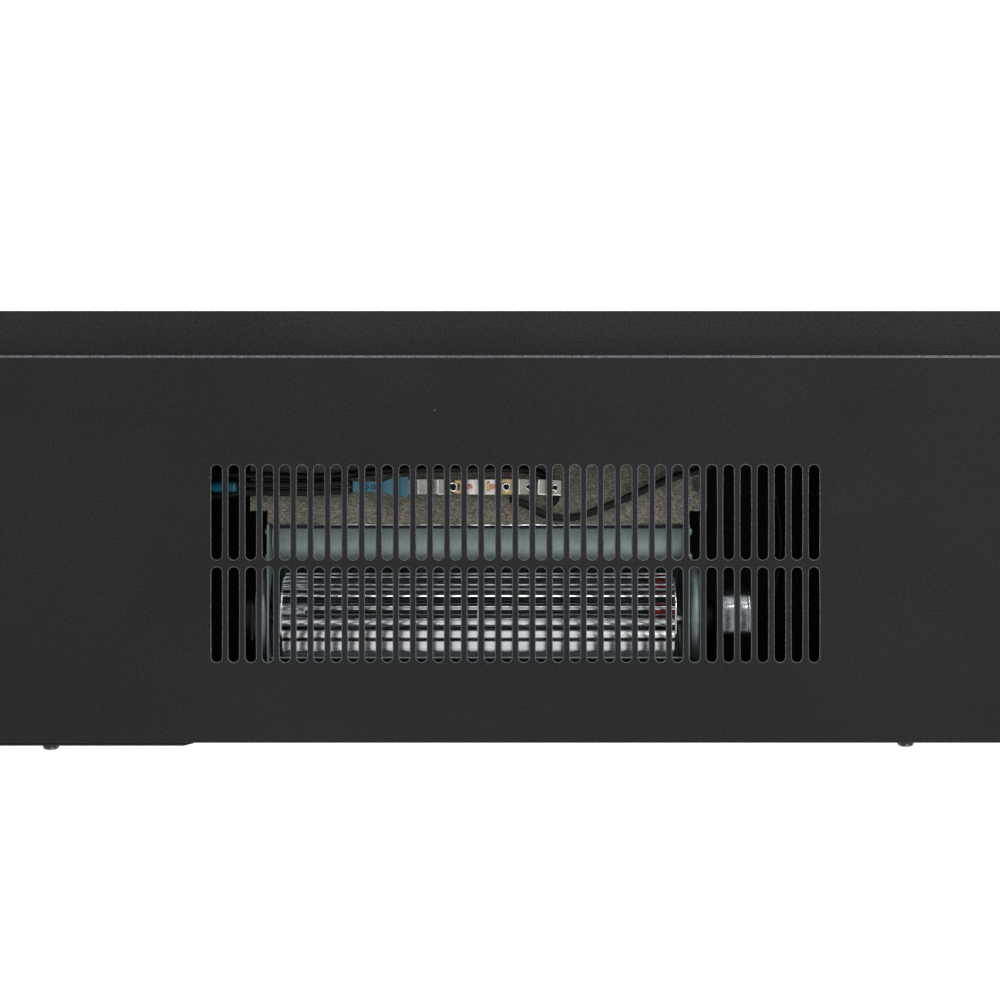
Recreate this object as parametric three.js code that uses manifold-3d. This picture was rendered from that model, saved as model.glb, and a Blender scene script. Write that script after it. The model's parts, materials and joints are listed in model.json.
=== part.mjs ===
// A built-in linear electric fireplace: a folded steel case with a slotted air intake in its top,
// a crossflow blower and mica heater under the intake, and a glass-fronted flame box below them.
// Millimetres, +Z up, the glass faces -Y. The origin is the middle of the footprint, on the underside.
import * as THREE from "three";
import { mergeVertices } from "three/addons/utils/BufferGeometryUtils.js";
import Module from "manifold-3d";

// ---------------------------------------------------------------- driving dimensions
// Case: the steel box behind the wall board
const caseWidth = 914;
const caseDepth = 159;
const caseHeight = 440;
const sheet = 1;
const caseFlange = 14;
const fitGap = 0.3;

// Front frame: stands forward through the wall board, a step smaller than the case all round
const frameDepth = 19;
const frameStep = 9;
const frameSheet = 1.4;
const topRail = 56;
const sideRail = 30;
const bottomRail = 30;
const glassThickness = 4;
const glassGap = 1;
const glassLip = 11;

// Air intake: two rows of round-ended slots in the top
const slotWidth = 4.5;
const slotLength = 39;
const slotPitch = 7;
const slotRowGap = 3;
const slotsPerRow = 36;
const intakeSetback = 45;
const intakeShift = -15.3;

// Rear: wiring cover, its screws, and a small vent for the light compartment
const coverThickness = 1;
const coverRamp = 4;
const coverStart = 116.7;
const coverWidth = 300;
const coverHeight = 96;
const knockoutRadius = 11;
const knockoutGroove = 1.2;
const rearScrewSpacing = 353.4;
const rearScrewDrop = 7;
const screwHeadRadius = 3.5;
const screwHeadHeight = 2.4;
const screwShankRadius = 1.7;
const screwShankLength = 6;
const screwRimShare = 0.35;
const rearVentSlots = 14;
const rearVentPitch = 12;
const rearVentLength = 34;
const rearVentWidth = 5;
const rearVentHeight = 60;
const sideHoleRadius = 2.75;

// Crossflow blower
const impellerRadius = 20;
const impellerLength = 165;
const impellerBlades = 20;
const bladeDepth = 6;
const bladeThickness = 0.6;
const discThickness = 1;
const intakeClearance = 13;
const roofClearance = 5.9;
const impellerBehindRow = 3.7;
const endGap = 4.6;
const blowerSheet = 0.8;
const collarClearance = 1.2;
const collarLength = 6;
const collarRim = 2;
const scrollClearance = 3;
const cutoffClearance = 2.2;
const cutoffDepth = 18.6;
const cutoffRoll = 14;
const cutoffLip = 0.5;
const cutoffRamp = 1.6;
const cutoffDrop = 5;
const endPlateRearGap = 10.5;
const earWidth = 12;
const earReach = 10;
const shaftRadius = 2.5;
const hubRadius = 7;
const hubLength = 10;
const bearingRadius = 8;
const bearingLength = 6;
const bridgeWidth = 15;
const bridgeOverlap = 4;
const motorMountRadius = 6.4;
const motorMountLength = 5;
const motorRadius = 17.5;
const motorLength = 14.6;

// Heater duct of mica board
const boardDrop = 13;
const boardThickness = 0.8;
const boardOverhang = 6.9;
const ductHeight = 29;
const ductFrontGap = 3;
const ductRearNotch = 5.4;
const tabHoleWidth = 2.7;
const tabHoleLength = 5.4;
const tabHoleInset = 4.4;
const tabHoleSetback = 16.4;
const elementFolds = 18;
const elementRibbon = 0.8;
const elementWidth = 14;
const elementSetback = 26;
const elementEndGap = 6;

// Thermostat, connectors and leads on the top board
const terminalSetback = 54;
const terminalWidth = 6.3;
const terminalThickness = 0.8;
const terminalLift = 2.2;
const terminalStart = 28.6;
const thermostatLength = 43;
const eyeletRadius = 2.7;
const eyeletBore = 1;
const eyeletStation = [18, 25, 34, 40.2];
const eyeletProud = 0.6;
const fuseLength = 18;
const fuseEyelet = 4.6;
const fuseStep = 2;
const fuseLift = 4.2;
const connectorLength = 23;
const connectorWidth = 8.2;
const connectorHeight = 5;
const crimpLength = 13;
const crimpWidth = 4.4;
const leadDiameter = 3;
const driverBoxStart = 180;
const driverBoxSize = [120, 76, 26];
const driverBoxSetback = 34;

// Flame box
const screenThickness = 3;
const screenSetback = 85;
const screenInset = 10;
const fireboxSideGap = 12;
const trayHeight = 34;
const trayWall = 1.2;
const traySetback = 4;
const trayScreenGap = 3;
const bedHeight = 17;
const logRadius = 15;
const lightBoardWidth = 16;
const lightBoardThickness = 1.6;
const lightBoardLift = 3;
const lightFootSize = [8, 6];
const rotorLength = 720;
const rotorRodRadius = 3;
const rotorScreenGap = 27;
const rotorHeight = 44;
const paddleReach = 13;
const paddleCount = 14;
const paddleShare = 0.7;
const paddleThickness = 0.8;
const paddleTurn = 50;
const bushRadius = 7;
const bushLength = 8;
const standThickness = 1.5;
const standWidth = 26;
const flickerMotorRadius = 24.5;
const flickerMotorLength = 19;

// Controls in the top rail
const buttonNames = ["power", "flame", "heat", "timer"];
const buttonRadius = 4;
const buttonProud = 1.2;
const buttonFlange = 1.2;
const buttonStemRadius = 1.6;
const buttonStemLength = 8;
const buttonTravel = 0.9;
const buttonPitch = 16;
const buttonClearance = 0.35;
const buttonInset = 78;
const switchHeight = 3.5;
const switchWidth = 6;
const controlBoardThickness = 1.6;
const controlBoardMargin = 9;
const rockerInset = 45;
const rockerWidth = 10;
const rockerHeight = 15;
const rockerTilt = 7;
const rockerHingeDepth = 4;
const rockerDepth = 4.5;
const rockerClearance = 0.6;
const rockerWall = 1.4;
const rockerBodyDepth = 13;
const windowWidth = 26;
const windowHeight = 10;
const windowThickness = 2;
const windowInset = 158;
const louvreHeight = 24;
const louvreWall = 1.6;
const louvreDepth = 11;
const louvreSlats = 4;
const louvreRibs = 3;
const slatThickness = 1;
const slatChord = 8;
const slatDrop = 2.4;

// ---------------------------------------------------------------- datums worked out from them
const radians = THREE.MathUtils.degToRad;
const rockerProud = (rockerHeight / 2) * Math.sin(radians(2 * rockerTilt));
const rearStack = 2 * fitGap + coverThickness + screwHeadHeight;
const depthOverall = rockerProud + frameDepth + caseDepth + rearStack;
const yFrameFront = -depthOverall / 2 + rockerProud;
const yCaseFront = yFrameFront + frameDepth;
const yCaseRear = yCaseFront + caseDepth;
const yFlangeRear = yCaseRear - 2 * sheet - fitGap;
const yCover = yCaseRear + fitGap;
const zBase = 0;
const zTop = zBase + caseHeight;
const halfCase = caseWidth / 2;
const halfFrame = halfCase - frameStep;
const zFrameTop = zTop - frameStep;
const zFrameBottom = zBase + frameStep;
const zGlassTop = zFrameTop - topRail;
const zGlassBottom = zFrameBottom + bottomRail;
const halfOpening = halfFrame - sideRail;
const zRailMiddle = zFrameTop - topRail / 2;

const ySlotRow = [0, 1].map(
  (row) => yCaseFront + intakeSetback + slotLength / 2 + row * (slotLength + slotRowGap),
);
const yAxis = ySlotRow[1] + impellerBehindRow;
const zAxis = zTop - sheet - intakeClearance - impellerRadius;
const halfImpeller = impellerLength / 2;
const xEndPlate = halfImpeller + endGap;
const xCollarEnd = xEndPlate + collarLength;
const collarInner = impellerRadius + collarClearance;
const yDuctRear = yAxis - impellerRadius - cutoffClearance - cutoffDepth;
const yDuctFront = yCaseFront + sheet + ductFrontGap;
const zBoardTop = zTop - boardDrop;
const zDuctFloor = zBoardTop - boardThickness - ductHeight;
const xSideBoard = xEndPlate + blowerSheet + fitGap;
const scrollRadius = impellerRadius + scrollClearance;
const zRoof = zAxis - scrollRadius - blowerSheet - fitGap - roofClearance - sheet;
const yScreen = yCaseFront + screenSetback;

// ---------------------------------------------------------------- solid modelling helpers
const wasm = await Module();
wasm.setup();

function solidOf(geometry) {
  const bare = geometry.index ? geometry.toNonIndexed() : geometry.clone();
  bare.deleteAttribute("normal");
  bare.deleteAttribute("uv");
  const merged = mergeVertices(bare, 1e-4);
  const vertProperties = merged.attributes.position.array;
  const triVerts = new Uint32Array(merged.index.array);
  return new wasm.Manifold(new wasm.Mesh({ numProp: 3, vertProperties, triVerts }));
}

function geometryOf(solid) {
  const { vertProperties, triVerts } = solid.getMesh();
  const geometry = new THREE.BufferGeometry()
    .setAttribute("position", new THREE.BufferAttribute(vertProperties, 3))
    .setIndex(new THREE.BufferAttribute(triVerts, 1))
    .toNonIndexed();
  geometry.computeVertexNormals();
  return geometry;
}

const ordered = (a, b) => [Math.min(a, b), Math.max(a, b)];
const join = (...shapes) => geometryOf(shapes.map(solidOf).reduce((a, b) => a.add(b)));
const cut = (body, ...tools) =>
  geometryOf(tools.map(solidOf).reduce((a, b) => a.subtract(b), solidOf(body)));

// A box between two corners.
function block([x0, x1], [y0, y1], [z0, z1]) {
  return new THREE.BoxGeometry(x1 - x0, y1 - y0, z1 - z0).translate(
    (x0 + x1) / 2,
    (y0 + y1) / 2,
    (z0 + z1) / 2,
  );
}

// Extrusions of a flat outline: drawn in (y, z), (x, z) or (x, y), and run between two planes.
function extrude(shape, length, segments) {
  return new THREE.ExtrudeGeometry(shape, {
    depth: length,
    bevelEnabled: false,
    curveSegments: segments,
    steps: 1,
  });
}
const basis = (x, y, z) => new THREE.Matrix4().makeBasis(x, y, z);
const X = new THREE.Vector3(1, 0, 0);
const Y = new THREE.Vector3(0, 1, 0);
const Z = new THREE.Vector3(0, 0, 1);
const alongX = (shape, [x0, x1], segments = 8) =>
  extrude(shape, x1 - x0, segments).applyMatrix4(basis(Y, Z, X)).translate(x0, 0, 0);
const alongY = (shape, [y0, y1], segments = 8) =>
  extrude(shape, y1 - y0, segments)
    .applyMatrix4(basis(X, Z, Y.clone().negate()))
    .translate(0, y1, 0);
const alongZ = (shape, [z0, z1], segments = 8) =>
  extrude(shape, z1 - z0, segments).translate(0, 0, z0);

function circle(u, v, radius) {
  return new THREE.Shape().absarc(u, v, radius, 0, 2 * Math.PI, false);
}

const roundHole = (u, v, radius) => new THREE.Path().absarc(u, v, radius, 0, 2 * Math.PI, true);

function ring(u, v, outer, inner) {
  const shape = circle(u, v, outer);
  shape.holes.push(roundHole(u, v, inner));
  return shape;
}

function polygon(points) {
  return new THREE.Shape(points.map(([u, v]) => new THREE.Vector2(u, v)));
}

const rectangle = (u0, u1, v0, v1) =>
  polygon([[u0, v0], [u1, v0], [u1, v1], [u0, v1]]);

// A round-ended slot; vertical slots run along v and level ones along u.
function slotPath(u, v, width, length, upright = true) {
  const r = width / 2;
  const reach = length / 2 - r;
  const path = new THREE.Path();
  if (upright) {
    path.absarc(u, v + reach, r, 0, Math.PI, false);
    path.absarc(u, v - reach, r, Math.PI, 2 * Math.PI, false);
  } else {
    path.absarc(u + reach, v, r, -Math.PI / 2, Math.PI / 2, false);
    path.absarc(u - reach, v, r, Math.PI / 2, 1.5 * Math.PI, false);
  }
  path.closePath();
  return path;
}

// The section of a bent sheet: a line of points, thickened to its left by the sheet's thickness.
function sheetSection(points, thickness) {
  const line = points.map(([u, v]) => new THREE.Vector2(u, v));
  const normals = line.slice(1).map((p, i) => {
    const along = p.clone().sub(line[i]).normalize();
    return new THREE.Vector2(-along.y, along.x);
  });
  const offset = line.map((p, i) => {
    const before = normals[Math.max(i - 1, 0)];
    const after = normals[Math.min(i, normals.length - 1)];
    const mitre = before.clone().add(after).normalize();
    return p.clone().addScaledVector(mitre, thickness / mitre.dot(after));
  });
  return new THREE.Shape([...line, ...offset.reverse()]);
}

function arcPoints(centreY, centreZ, radius, fromDegrees, toDegrees, steps) {
  return Array.from({ length: steps + 1 }, (_, i) => {
    const angle = radians(fromDegrees + ((toDegrees - fromDegrees) * i) / steps);
    return [centreY + radius * Math.cos(angle), centreZ + radius * Math.sin(angle)];
  });
}

// A round wire through hand-placed points.
function wire(points, diameter, steps, sides = 8) {
  const curve = new THREE.CatmullRomCurve3(
    points.map((p) => new THREE.Vector3(...p)),
    false,
    "centripetal",
  );
  const section = new THREE.Shape(
    Array.from({ length: sides }, (_, i) => {
      const angle = (2 * Math.PI * i) / sides;
      return new THREE.Vector2(Math.cos(angle), Math.sin(angle)).multiplyScalar(diameter / 2);
    }),
  );
  return new THREE.ExtrudeGeometry(section, { extrudePath: curve, steps, bevelEnabled: false });
}

// ---------------------------------------------------------------- materials
const finish = (color, roughness, metalness) =>
  new THREE.MeshStandardMaterial({ color, roughness, metalness });
const materials = {
  graphitePaint: finish(0x2c2c2e, 0.55, 0.2),
  blackPaint: finish(0x101011, 0.6, 0.1),
  galvanised: finish(0x9fb0b0, 0.35, 0.9),
  polished: finish(0xd2d6da, 0.15, 1),
  mica: finish(0x8c8670, 0.85, 0),
  plated: finish(0xc9c6bf, 0.3, 1),
  blueSleeve: finish(0x2f8fb3, 0.4, 0),
  blackSleeve: finish(0x0c0c0d, 0.5, 0),
  blackRubber: finish(0x151515, 0.8, 0),
  glass: finish(0x101214, 0.05, 0),
  frosted: finish(0x2a2624, 0.5, 0),
  crystals: finish(0xd8e2e6, 0.1, 0),
  driftwood: finish(0x8a6f54, 0.9, 0),
  circuit: finish(0x1f5a34, 0.6, 0),
  gloss: finish(0x0b0b0c, 0.2, 0),
};

const fireplace = new THREE.Group();
function add(name, geometry, material) {
  const mesh = new THREE.Mesh(geometry, materials[material]);
  mesh.name = name;
  fireplace.add(mesh);
  return mesh;
}

// ---------------------------------------------------------------- case
const rearScrewX = (side) => (side * rearScrewSpacing) / 2;
const rearScrewHoles = () =>
  [-1, 1].map((side) =>
    roundHole(rearScrewX(side), zTop - rearScrewDrop, screwShankRadius + fitGap),
  );

// The top: slotted, with a flange turned down at the front and the rear.
function topPanel() {
  const plate = rectangle(-halfCase, halfCase, yCaseFront, yCaseRear);
  const firstSlot = intakeShift - ((slotsPerRow - 1) * slotPitch) / 2;
  for (const y of ySlotRow)
    for (let i = 0; i < slotsPerRow; i++)
      plate.holes.push(slotPath(firstSlot + i * slotPitch, y, slotWidth, slotLength));
  const rearFlange = rectangle(-halfCase, halfCase, zTop - caseFlange, zTop);
  rearFlange.holes.push(...rearScrewHoles());
  return join(
    alongZ(plate, [zTop - sheet, zTop], 2),
    block([-halfCase, halfCase], [yCaseFront, yCaseFront + sheet], [zTop - caseFlange, zTop]),
    alongY(rearFlange, [yFlangeRear, yFlangeRear + sheet], 3),
  );
}

// The bottom: one bent section, its rear flange set in by the rear panel's thickness.
function bottomPanel() {
  const zPlate = zBase + sheet;
  const zFlange = zBase + caseFlange;
  const section = polygon([
    [yCaseFront, zBase],
    [yCaseRear, zBase],
    [yCaseRear, zPlate],
    [yFlangeRear + sheet, zPlate],
    [yFlangeRear + sheet, zFlange],
    [yFlangeRear, zFlange],
    [yFlangeRear, zPlate],
    [yCaseFront + sheet, zPlate],
    [yCaseFront + sheet, zFlange],
    [yCaseFront, zFlange],
  ]);
  return alongX(section, [-halfCase, halfCase]);
}

// A side: a plate with a flange turned in at the front, and two fixing holes for the wall studs.
function sidePanel(side) {
  const outer = side * halfCase;
  const inner = side * (halfCase - sheet);
  const flangeEnd = side * (halfCase - caseFlange);
  const low = zBase + sheet + fitGap;
  const high = zTop - sheet - fitGap;
  const y0 = yCaseFront + sheet + fitGap;
  const y1 = yFlangeRear - fitGap;
  const plate = rectangle(y0, y1, low, high);
  for (const z of [zBase + caseHeight / 4, zBase + (3 * caseHeight) / 4])
    plate.holes.push(roundHole(yCaseFront + caseDepth / 4, z, sideHoleRadius));
  const flangeLow = zBase + caseFlange + fitGap;
  const flangeHigh = zTop - caseFlange - fitGap;
  return join(
    alongX(plate, ordered(outer, inner), 6),
    block(ordered(outer, flangeEnd), [yCaseFront, yCaseFront + sheet], [flangeLow, flangeHigh]),
    block(ordered(outer, inner), [yCaseFront, y0 + sheet], [flangeLow, flangeHigh]),
  );
}

// The rear: a plate that closes the back, vented behind the lights.
function rearPanel() {
  const reach = halfCase - fitGap;
  const plate = rectangle(-reach, reach, zBase + sheet + fitGap, zTop - sheet - fitGap);
  const firstVent = -((rearVentSlots - 1) * rearVentPitch) / 2;
  for (let i = 0; i < rearVentSlots; i++)
    plate.holes.push(
      slotPath(firstVent + i * rearVentPitch, zBase + rearVentHeight, rearVentWidth, rearVentLength),
    );
  plate.holes.push(...rearScrewHoles());
  return alongY(plate, [yCaseRear - sheet, yCaseRear], 3);
}

// The wiring cover: a plate over the rear, ramped at its inner end, with a conduit knockout.
function wiringCover() {
  const x1 = coverStart + coverWidth;
  const y0 = yCover;
  const y1 = yCover + coverThickness;
  const outline = polygon([
    [coverStart, y0],
    [x1, y0],
    [x1, y1],
    [coverStart + coverRamp, y1],
  ]);
  const plate = alongZ(outline, [zTop - coverHeight, zTop - fitGap]);
  const xMiddle = coverStart + coverWidth / 2;
  const zMiddle = zTop - coverHeight / 2;
  const groove = alongY(
    ring(xMiddle, zMiddle, knockoutRadius + knockoutGroove, knockoutRadius),
    [yCover + coverThickness / 2, y1 + 1],
    8,
  );
  const screwHole = alongY(
    circle(rearScrewX(1), zTop - rearScrewDrop, screwShankRadius + fitGap),
    [y0 - 1, y1 + 1],
    4,
  );
  return cut(plate, groove, screwHole);
}

add("top_panel", topPanel(), "graphitePaint");
add("bottom_panel", bottomPanel(), "graphitePaint");
add("side_panel_left", sidePanel(-1), "graphitePaint");
add("side_panel_right", sidePanel(1), "graphitePaint");
add("rear_panel", rearPanel(), "graphitePaint");
add("wiring_cover", wiringCover(), "graphitePaint");

// A pan-head screw with its head's underside at the origin, pointing along +Y.
function panHeadScrew() {
  const dome = [0, 30, 60, 90].map((degrees) => {
    const angle = radians(degrees);
    const lift = screwRimShare + (1 - screwRimShare) * Math.sin(angle);
    return new THREE.Vector2(screwHeadRadius * Math.cos(angle), screwHeadHeight * lift);
  });
  const profile = [
    new THREE.Vector2(0, -screwShankLength),
    new THREE.Vector2(screwShankRadius, -screwShankLength),
    new THREE.Vector2(screwShankRadius, 0),
    new THREE.Vector2(screwHeadRadius, 0),
    ...dome,
  ];
  profile[profile.length - 1].x = 0;
  return new THREE.LatheGeometry(profile, 12);
}

for (const [name, side] of [["rear_screw_left", -1], ["rear_screw_right", 1]]) {
  const screw = add(name, panHeadScrew(), "gloss");
  const seat = side > 0 ? yCover + coverThickness + fitGap : yCaseRear + fitGap;
  screw.position.set(rearScrewX(side), seat, zTop - rearScrewDrop);
}

// ---------------------------------------------------------------- front frame
const yFace = [yFrameFront, yFrameFront + frameSheet];
const yLipFront = yFrameFront + glassThickness + fitGap;
const yLip = [yLipFront, yLipFront + frameSheet];
const yReturn = [yFrameFront, yCaseFront - fitGap];
const zLouvre = [zDuctFloor, zDuctFloor + louvreHeight];
const xButton = (i) => halfFrame - buttonInset - i * buttonPitch;
const xRocker = halfFrame - rockerInset;
const xWindow = halfFrame - windowInset;
const halfRockerBody = rockerWidth / 2 + rockerClearance + rockerWall;
const halfRockerBodyHeight = rockerHeight / 2 + 2 * rockerClearance + rockerWall;

// A rail is a face, an outer return back to the case, an inner return beside the glass and a lip
// behind it. place makes a block from the ranges along the rail, across it and in depth.
function rail(face, along, lipAlong, inner, outer, place) {
  const out = Math.sign(outer - inner);
  const lip = ordered(inner - out * glassLip, inner + out * frameSheet);
  return join(
    face,
    place(along, ordered(outer, outer - out * frameSheet), yReturn),
    place(lipAlong, ordered(inner, inner + out * frameSheet), [yFrameFront, yLip[1]]),
    place(lipAlong, lip, yLip),
  );
}

const placeLevel = (along, across, depth) => block(along, depth, across);
const placeUpright = (along, across, depth) => block(across, depth, along);
const frameEnds = [-halfFrame, halfFrame];
const openingEnds = [-halfOpening, halfOpening];

function withEndWalls(railGeometry, zRange) {
  const wall = (side) =>
    block(ordered(side * halfFrame, side * (halfFrame - frameSheet)), yReturn, zRange);
  return join(railGeometry, wall(-1), wall(1));
}

function topRailPiece() {
  const face = rectangle(-halfFrame, halfFrame, zGlassTop, zFrameTop);
  const opening = (x, z, halfWidth, halfHeight) =>
    rectangle(x - halfWidth, x + halfWidth, z - halfHeight, z + halfHeight);
  const zLouvreMiddle = (zLouvre[0] + zLouvre[1]) / 2;
  face.holes.push(
    opening(0, zLouvreMiddle, xSideBoard + fitGap, louvreHeight / 2 + fitGap),
    opening(xRocker, zRailMiddle, halfRockerBody + fitGap, halfRockerBodyHeight + fitGap),
    opening(xWindow, zRailMiddle, windowWidth / 2 + fitGap, windowHeight / 2 + fitGap),
    ...buttonNames.map((_, i) => roundHole(xButton(i), zRailMiddle, buttonRadius + buttonClearance)),
  );
  const plate = alongY(face, yFace, 6);
  const level = rail(plate, frameEnds, openingEnds, zGlassTop, zFrameTop, placeLevel);
  return withEndWalls(level, [zGlassTop, zFrameTop]);
}

function bottomRailPiece() {
  const face = block(frameEnds, yFace, [zFrameBottom, zGlassBottom]);
  const level = rail(face, frameEnds, openingEnds, zGlassBottom, zFrameBottom, placeLevel);
  return withEndWalls(level, [zFrameBottom, zGlassBottom]);
}

function sideRailPiece(side) {
  const along = [zGlassBottom + fitGap, zGlassTop - fitGap];
  const lipAlong = [along[0] + glassLip, along[1] - glassLip];
  const face = block(ordered(side * halfOpening, side * halfFrame), yFace, along);
  return rail(face, along, lipAlong, side * halfOpening, side * halfFrame, placeUpright);
}

add("top_rail", topRailPiece(), "blackPaint");
add("bottom_rail", bottomRailPiece(), "blackPaint");
add("side_rail_left", sideRailPiece(-1), "blackPaint");
add("side_rail_right", sideRailPiece(1), "blackPaint");

add(
  "front_glass",
  block(
    [-halfOpening + glassGap, halfOpening - glassGap],
    [yFrameFront, yFrameFront + glassThickness],
    [zGlassBottom + glassGap, zGlassTop - glassGap],
  ),
  "glass",
);

// The warm-air outlet: a shallow frame with sloping slats and upright ribs.
function louvre() {
  const y = [yFrameFront, yFrameFront + louvreDepth];
  const outline = rectangle(-xSideBoard, xSideBoard, ...zLouvre);
  outline.holes.push(
    rectangle(
      -xSideBoard + louvreWall,
      xSideBoard - louvreWall,
      zLouvre[0] + louvreWall,
      zLouvre[1] - louvreWall,
    ),
  );
  const slatPitch = louvreHeight / (louvreSlats + 1);
  const slats = Array.from({ length: louvreSlats }, (_, i) => {
    const z = zLouvre[0] + slatPitch * (i + 1);
    const y0 = yFrameFront + (louvreDepth - slatChord) / 2;
    const section = polygon([
      [y0, z - slatDrop / 2 - slatThickness / 2],
      [y0 + slatChord, z + slatDrop / 2 - slatThickness / 2],
      [y0 + slatChord, z + slatDrop / 2 + slatThickness / 2],
      [y0, z - slatDrop / 2 + slatThickness / 2],
    ]);
    return alongX(section, [-xSideBoard + louvreWall / 2, xSideBoard - louvreWall / 2]);
  });
  const ribs = Array.from({ length: louvreRibs }, (_, i) => {
    const x = -xSideBoard + ((i + 1) * 2 * xSideBoard) / (louvreRibs + 1);
    const z = [zLouvre[0] + louvreWall / 2, zLouvre[1] - louvreWall / 2];
    return block([x - slatThickness / 2, x + slatThickness / 2], [y[0] + louvreWall, y[1]], z);
  });
  return join(alongY(outline, y), ...slats, ...ribs);
}
add("outlet_louvre", louvre(), "blackPaint");

// ---------------------------------------------------------------- controls
// A push button along its own Y: cap, retaining flange behind the rail's face, and stem.
function pushButton() {
  const bevel = 0.4;
  const flange = frameSheet + fitGap;
  const profile = [
    [0, -buttonProud],
    [buttonRadius - bevel, -buttonProud],
    [buttonRadius, bevel - buttonProud],
    [buttonRadius, flange],
    [buttonRadius + buttonFlange, flange],
    [buttonRadius + buttonFlange, flange + buttonFlange],
    [buttonStemRadius, flange + buttonFlange],
    [buttonStemRadius, buttonStemLength],
    [0, buttonStemLength],
  ];
  return new THREE.LatheGeometry(profile.map(([r, y]) => new THREE.Vector2(r, y)), 16);
}
buttonNames.forEach((name, i) => {
  const button = add(`${name}_button`, pushButton(), "gloss");
  button.position.set(xButton(i), yFrameFront, zRailMiddle);
});

// The board behind the buttons, with a tactile switch behind each stem and two standoffs.
function controlBoard() {
  const ySwitch = yFrameFront + buttonStemLength + buttonTravel + fitGap;
  const yBoard = ySwitch + switchHeight;
  const x = [xButton(buttonNames.length - 1) - controlBoardMargin, xButton(0) + controlBoardMargin];
  const z = [zRailMiddle - controlBoardMargin, zRailMiddle + controlBoardMargin];
  const half = switchWidth / 2;
  const switches = buttonNames.map((_, i) =>
    block(
      [xButton(i) - half, xButton(i) + half],
      [ySwitch, yBoard + controlBoardThickness / 2],
      [zRailMiddle - half, zRailMiddle + half],
    ),
  );
  const standoffs = [-0.5, buttonNames.length - 0.5].map((i) =>
    alongY(
      circle(xButton(i), zRailMiddle, buttonStemRadius),
      [yFace[1] + fitGap, yBoard + controlBoardThickness / 2],
      4,
    ),
  );
  return join(block(x, [yBoard, yBoard + controlBoardThickness], z), ...switches, ...standoffs);
}
add("control_board", controlBoard(), "circuit");

function rockerBody() {
  const x = [xRocker - halfRockerBody, xRocker + halfRockerBody];
  const z = [zRailMiddle - halfRockerBodyHeight, zRailMiddle + halfRockerBodyHeight];
  const shrink = ([a, b]) => [a + rockerWall, b - rockerWall];
  const well = block(shrink(x), [yFrameFront - 1, yFrameFront + rockerBodyDepth - rockerWall], shrink(z));
  return cut(block(x, [yFrameFront, yFrameFront + rockerBodyDepth], z), well);
}
add("rocker_body", rockerBody(), "gloss");

// The rocker: a shallow V across the front, turned to its off position about its hinge.
function rocker() {
  const half = rockerHeight / 2;
  const tilt = radians(rockerTilt);
  const end = [-rockerHingeDepth - half * Math.sin(tilt), half * Math.cos(tilt)];
  const section = polygon([
    [-rockerHingeDepth, 0],
    [end[0], -end[1]],
    [end[0] + rockerDepth / 2, -end[1]],
    [rockerDepth - rockerHingeDepth, -rockerHeight / 4],
    [rockerDepth - rockerHingeDepth, rockerHeight / 4],
    [end[0] + rockerDepth / 2, end[1]],
    [end[0], end[1]],
  ]);
  return alongX(section, [-rockerWidth / 2, rockerWidth / 2]).rotateX(tilt);
}
add("rocker_switch", rocker(), "gloss").position.set(
  xRocker,
  yFrameFront + rockerHingeDepth,
  zRailMiddle,
);

add(
  "display_window",
  block(
    [xWindow - windowWidth / 2, xWindow + windowWidth / 2],
    [yFrameFront, yFrameFront + windowThickness],
    [zRailMiddle - windowHeight / 2, zRailMiddle + windowHeight / 2],
  ),
  "glass",
);

// ---------------------------------------------------------------- blower
const yCutoffTip = yAxis - impellerRadius - cutoffClearance;
const zUnderBoard = zBoardTop - boardThickness - fitGap;
const atImpeller = (section, x) => alongX(section, x).translate(0, yAxis, zAxis);

const xBridge = xCollarEnd + fitGap;
const xBearing = xBridge + blowerSheet + fitGap;
const xMount = [-xBearing - motorMountLength, -xBearing];
const xMotor = [xMount[0] - fitGap - motorLength, xMount[0] - fitGap];
const xShaftInner = halfImpeller - hubLength;

// The impeller: end and middle discs, curved blades between them, and a hub and stub shaft at
// each end.
function impellerWheel() {
  const discSides = 12;
  const edge = circle(0, 0, impellerRadius);
  const discs = [-1, 0, 1].map((end) => {
    const x = end * (halfImpeller - discThickness / 2);
    return alongX(edge, [x - discThickness / 2, x + discThickness / 2], discSides);
  });
  const blades = Array.from({ length: impellerBlades }, (_, i) => {
    const outer = impellerRadius - discThickness / 2;
    const inner = outer - bladeDepth;
    const camber = bladeDepth / 4;
    const section = sheetSection(
      [[outer, 0], [(outer + inner) / 2, camber], [inner, camber / 2]],
      bladeThickness,
    );
    return alongX(section, [-halfImpeller + discThickness / 2, halfImpeller - discThickness / 2])
      .rotateX((2 * Math.PI * i) / impellerBlades);
  });
  const hubs = [-1, 1].map((end) =>
    alongX(
      circle(0, 0, hubRadius),
      ordered(end * (halfImpeller - hubLength), end * (halfImpeller - discThickness / 2)),
    ),
  );
  const stubs = [
    [xShaftInner, xBearing + bearingLength - fitGap],
    [xMotor[1] + fitGap, -xShaftInner],
  ].map((x) => alongX(circle(0, 0, shaftRadius), x));
  return join(...discs, ...blades, ...hubs, ...stubs).translate(0, yAxis, zAxis);
}
add("impeller_wheel", impellerWheel(), "polished");

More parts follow.
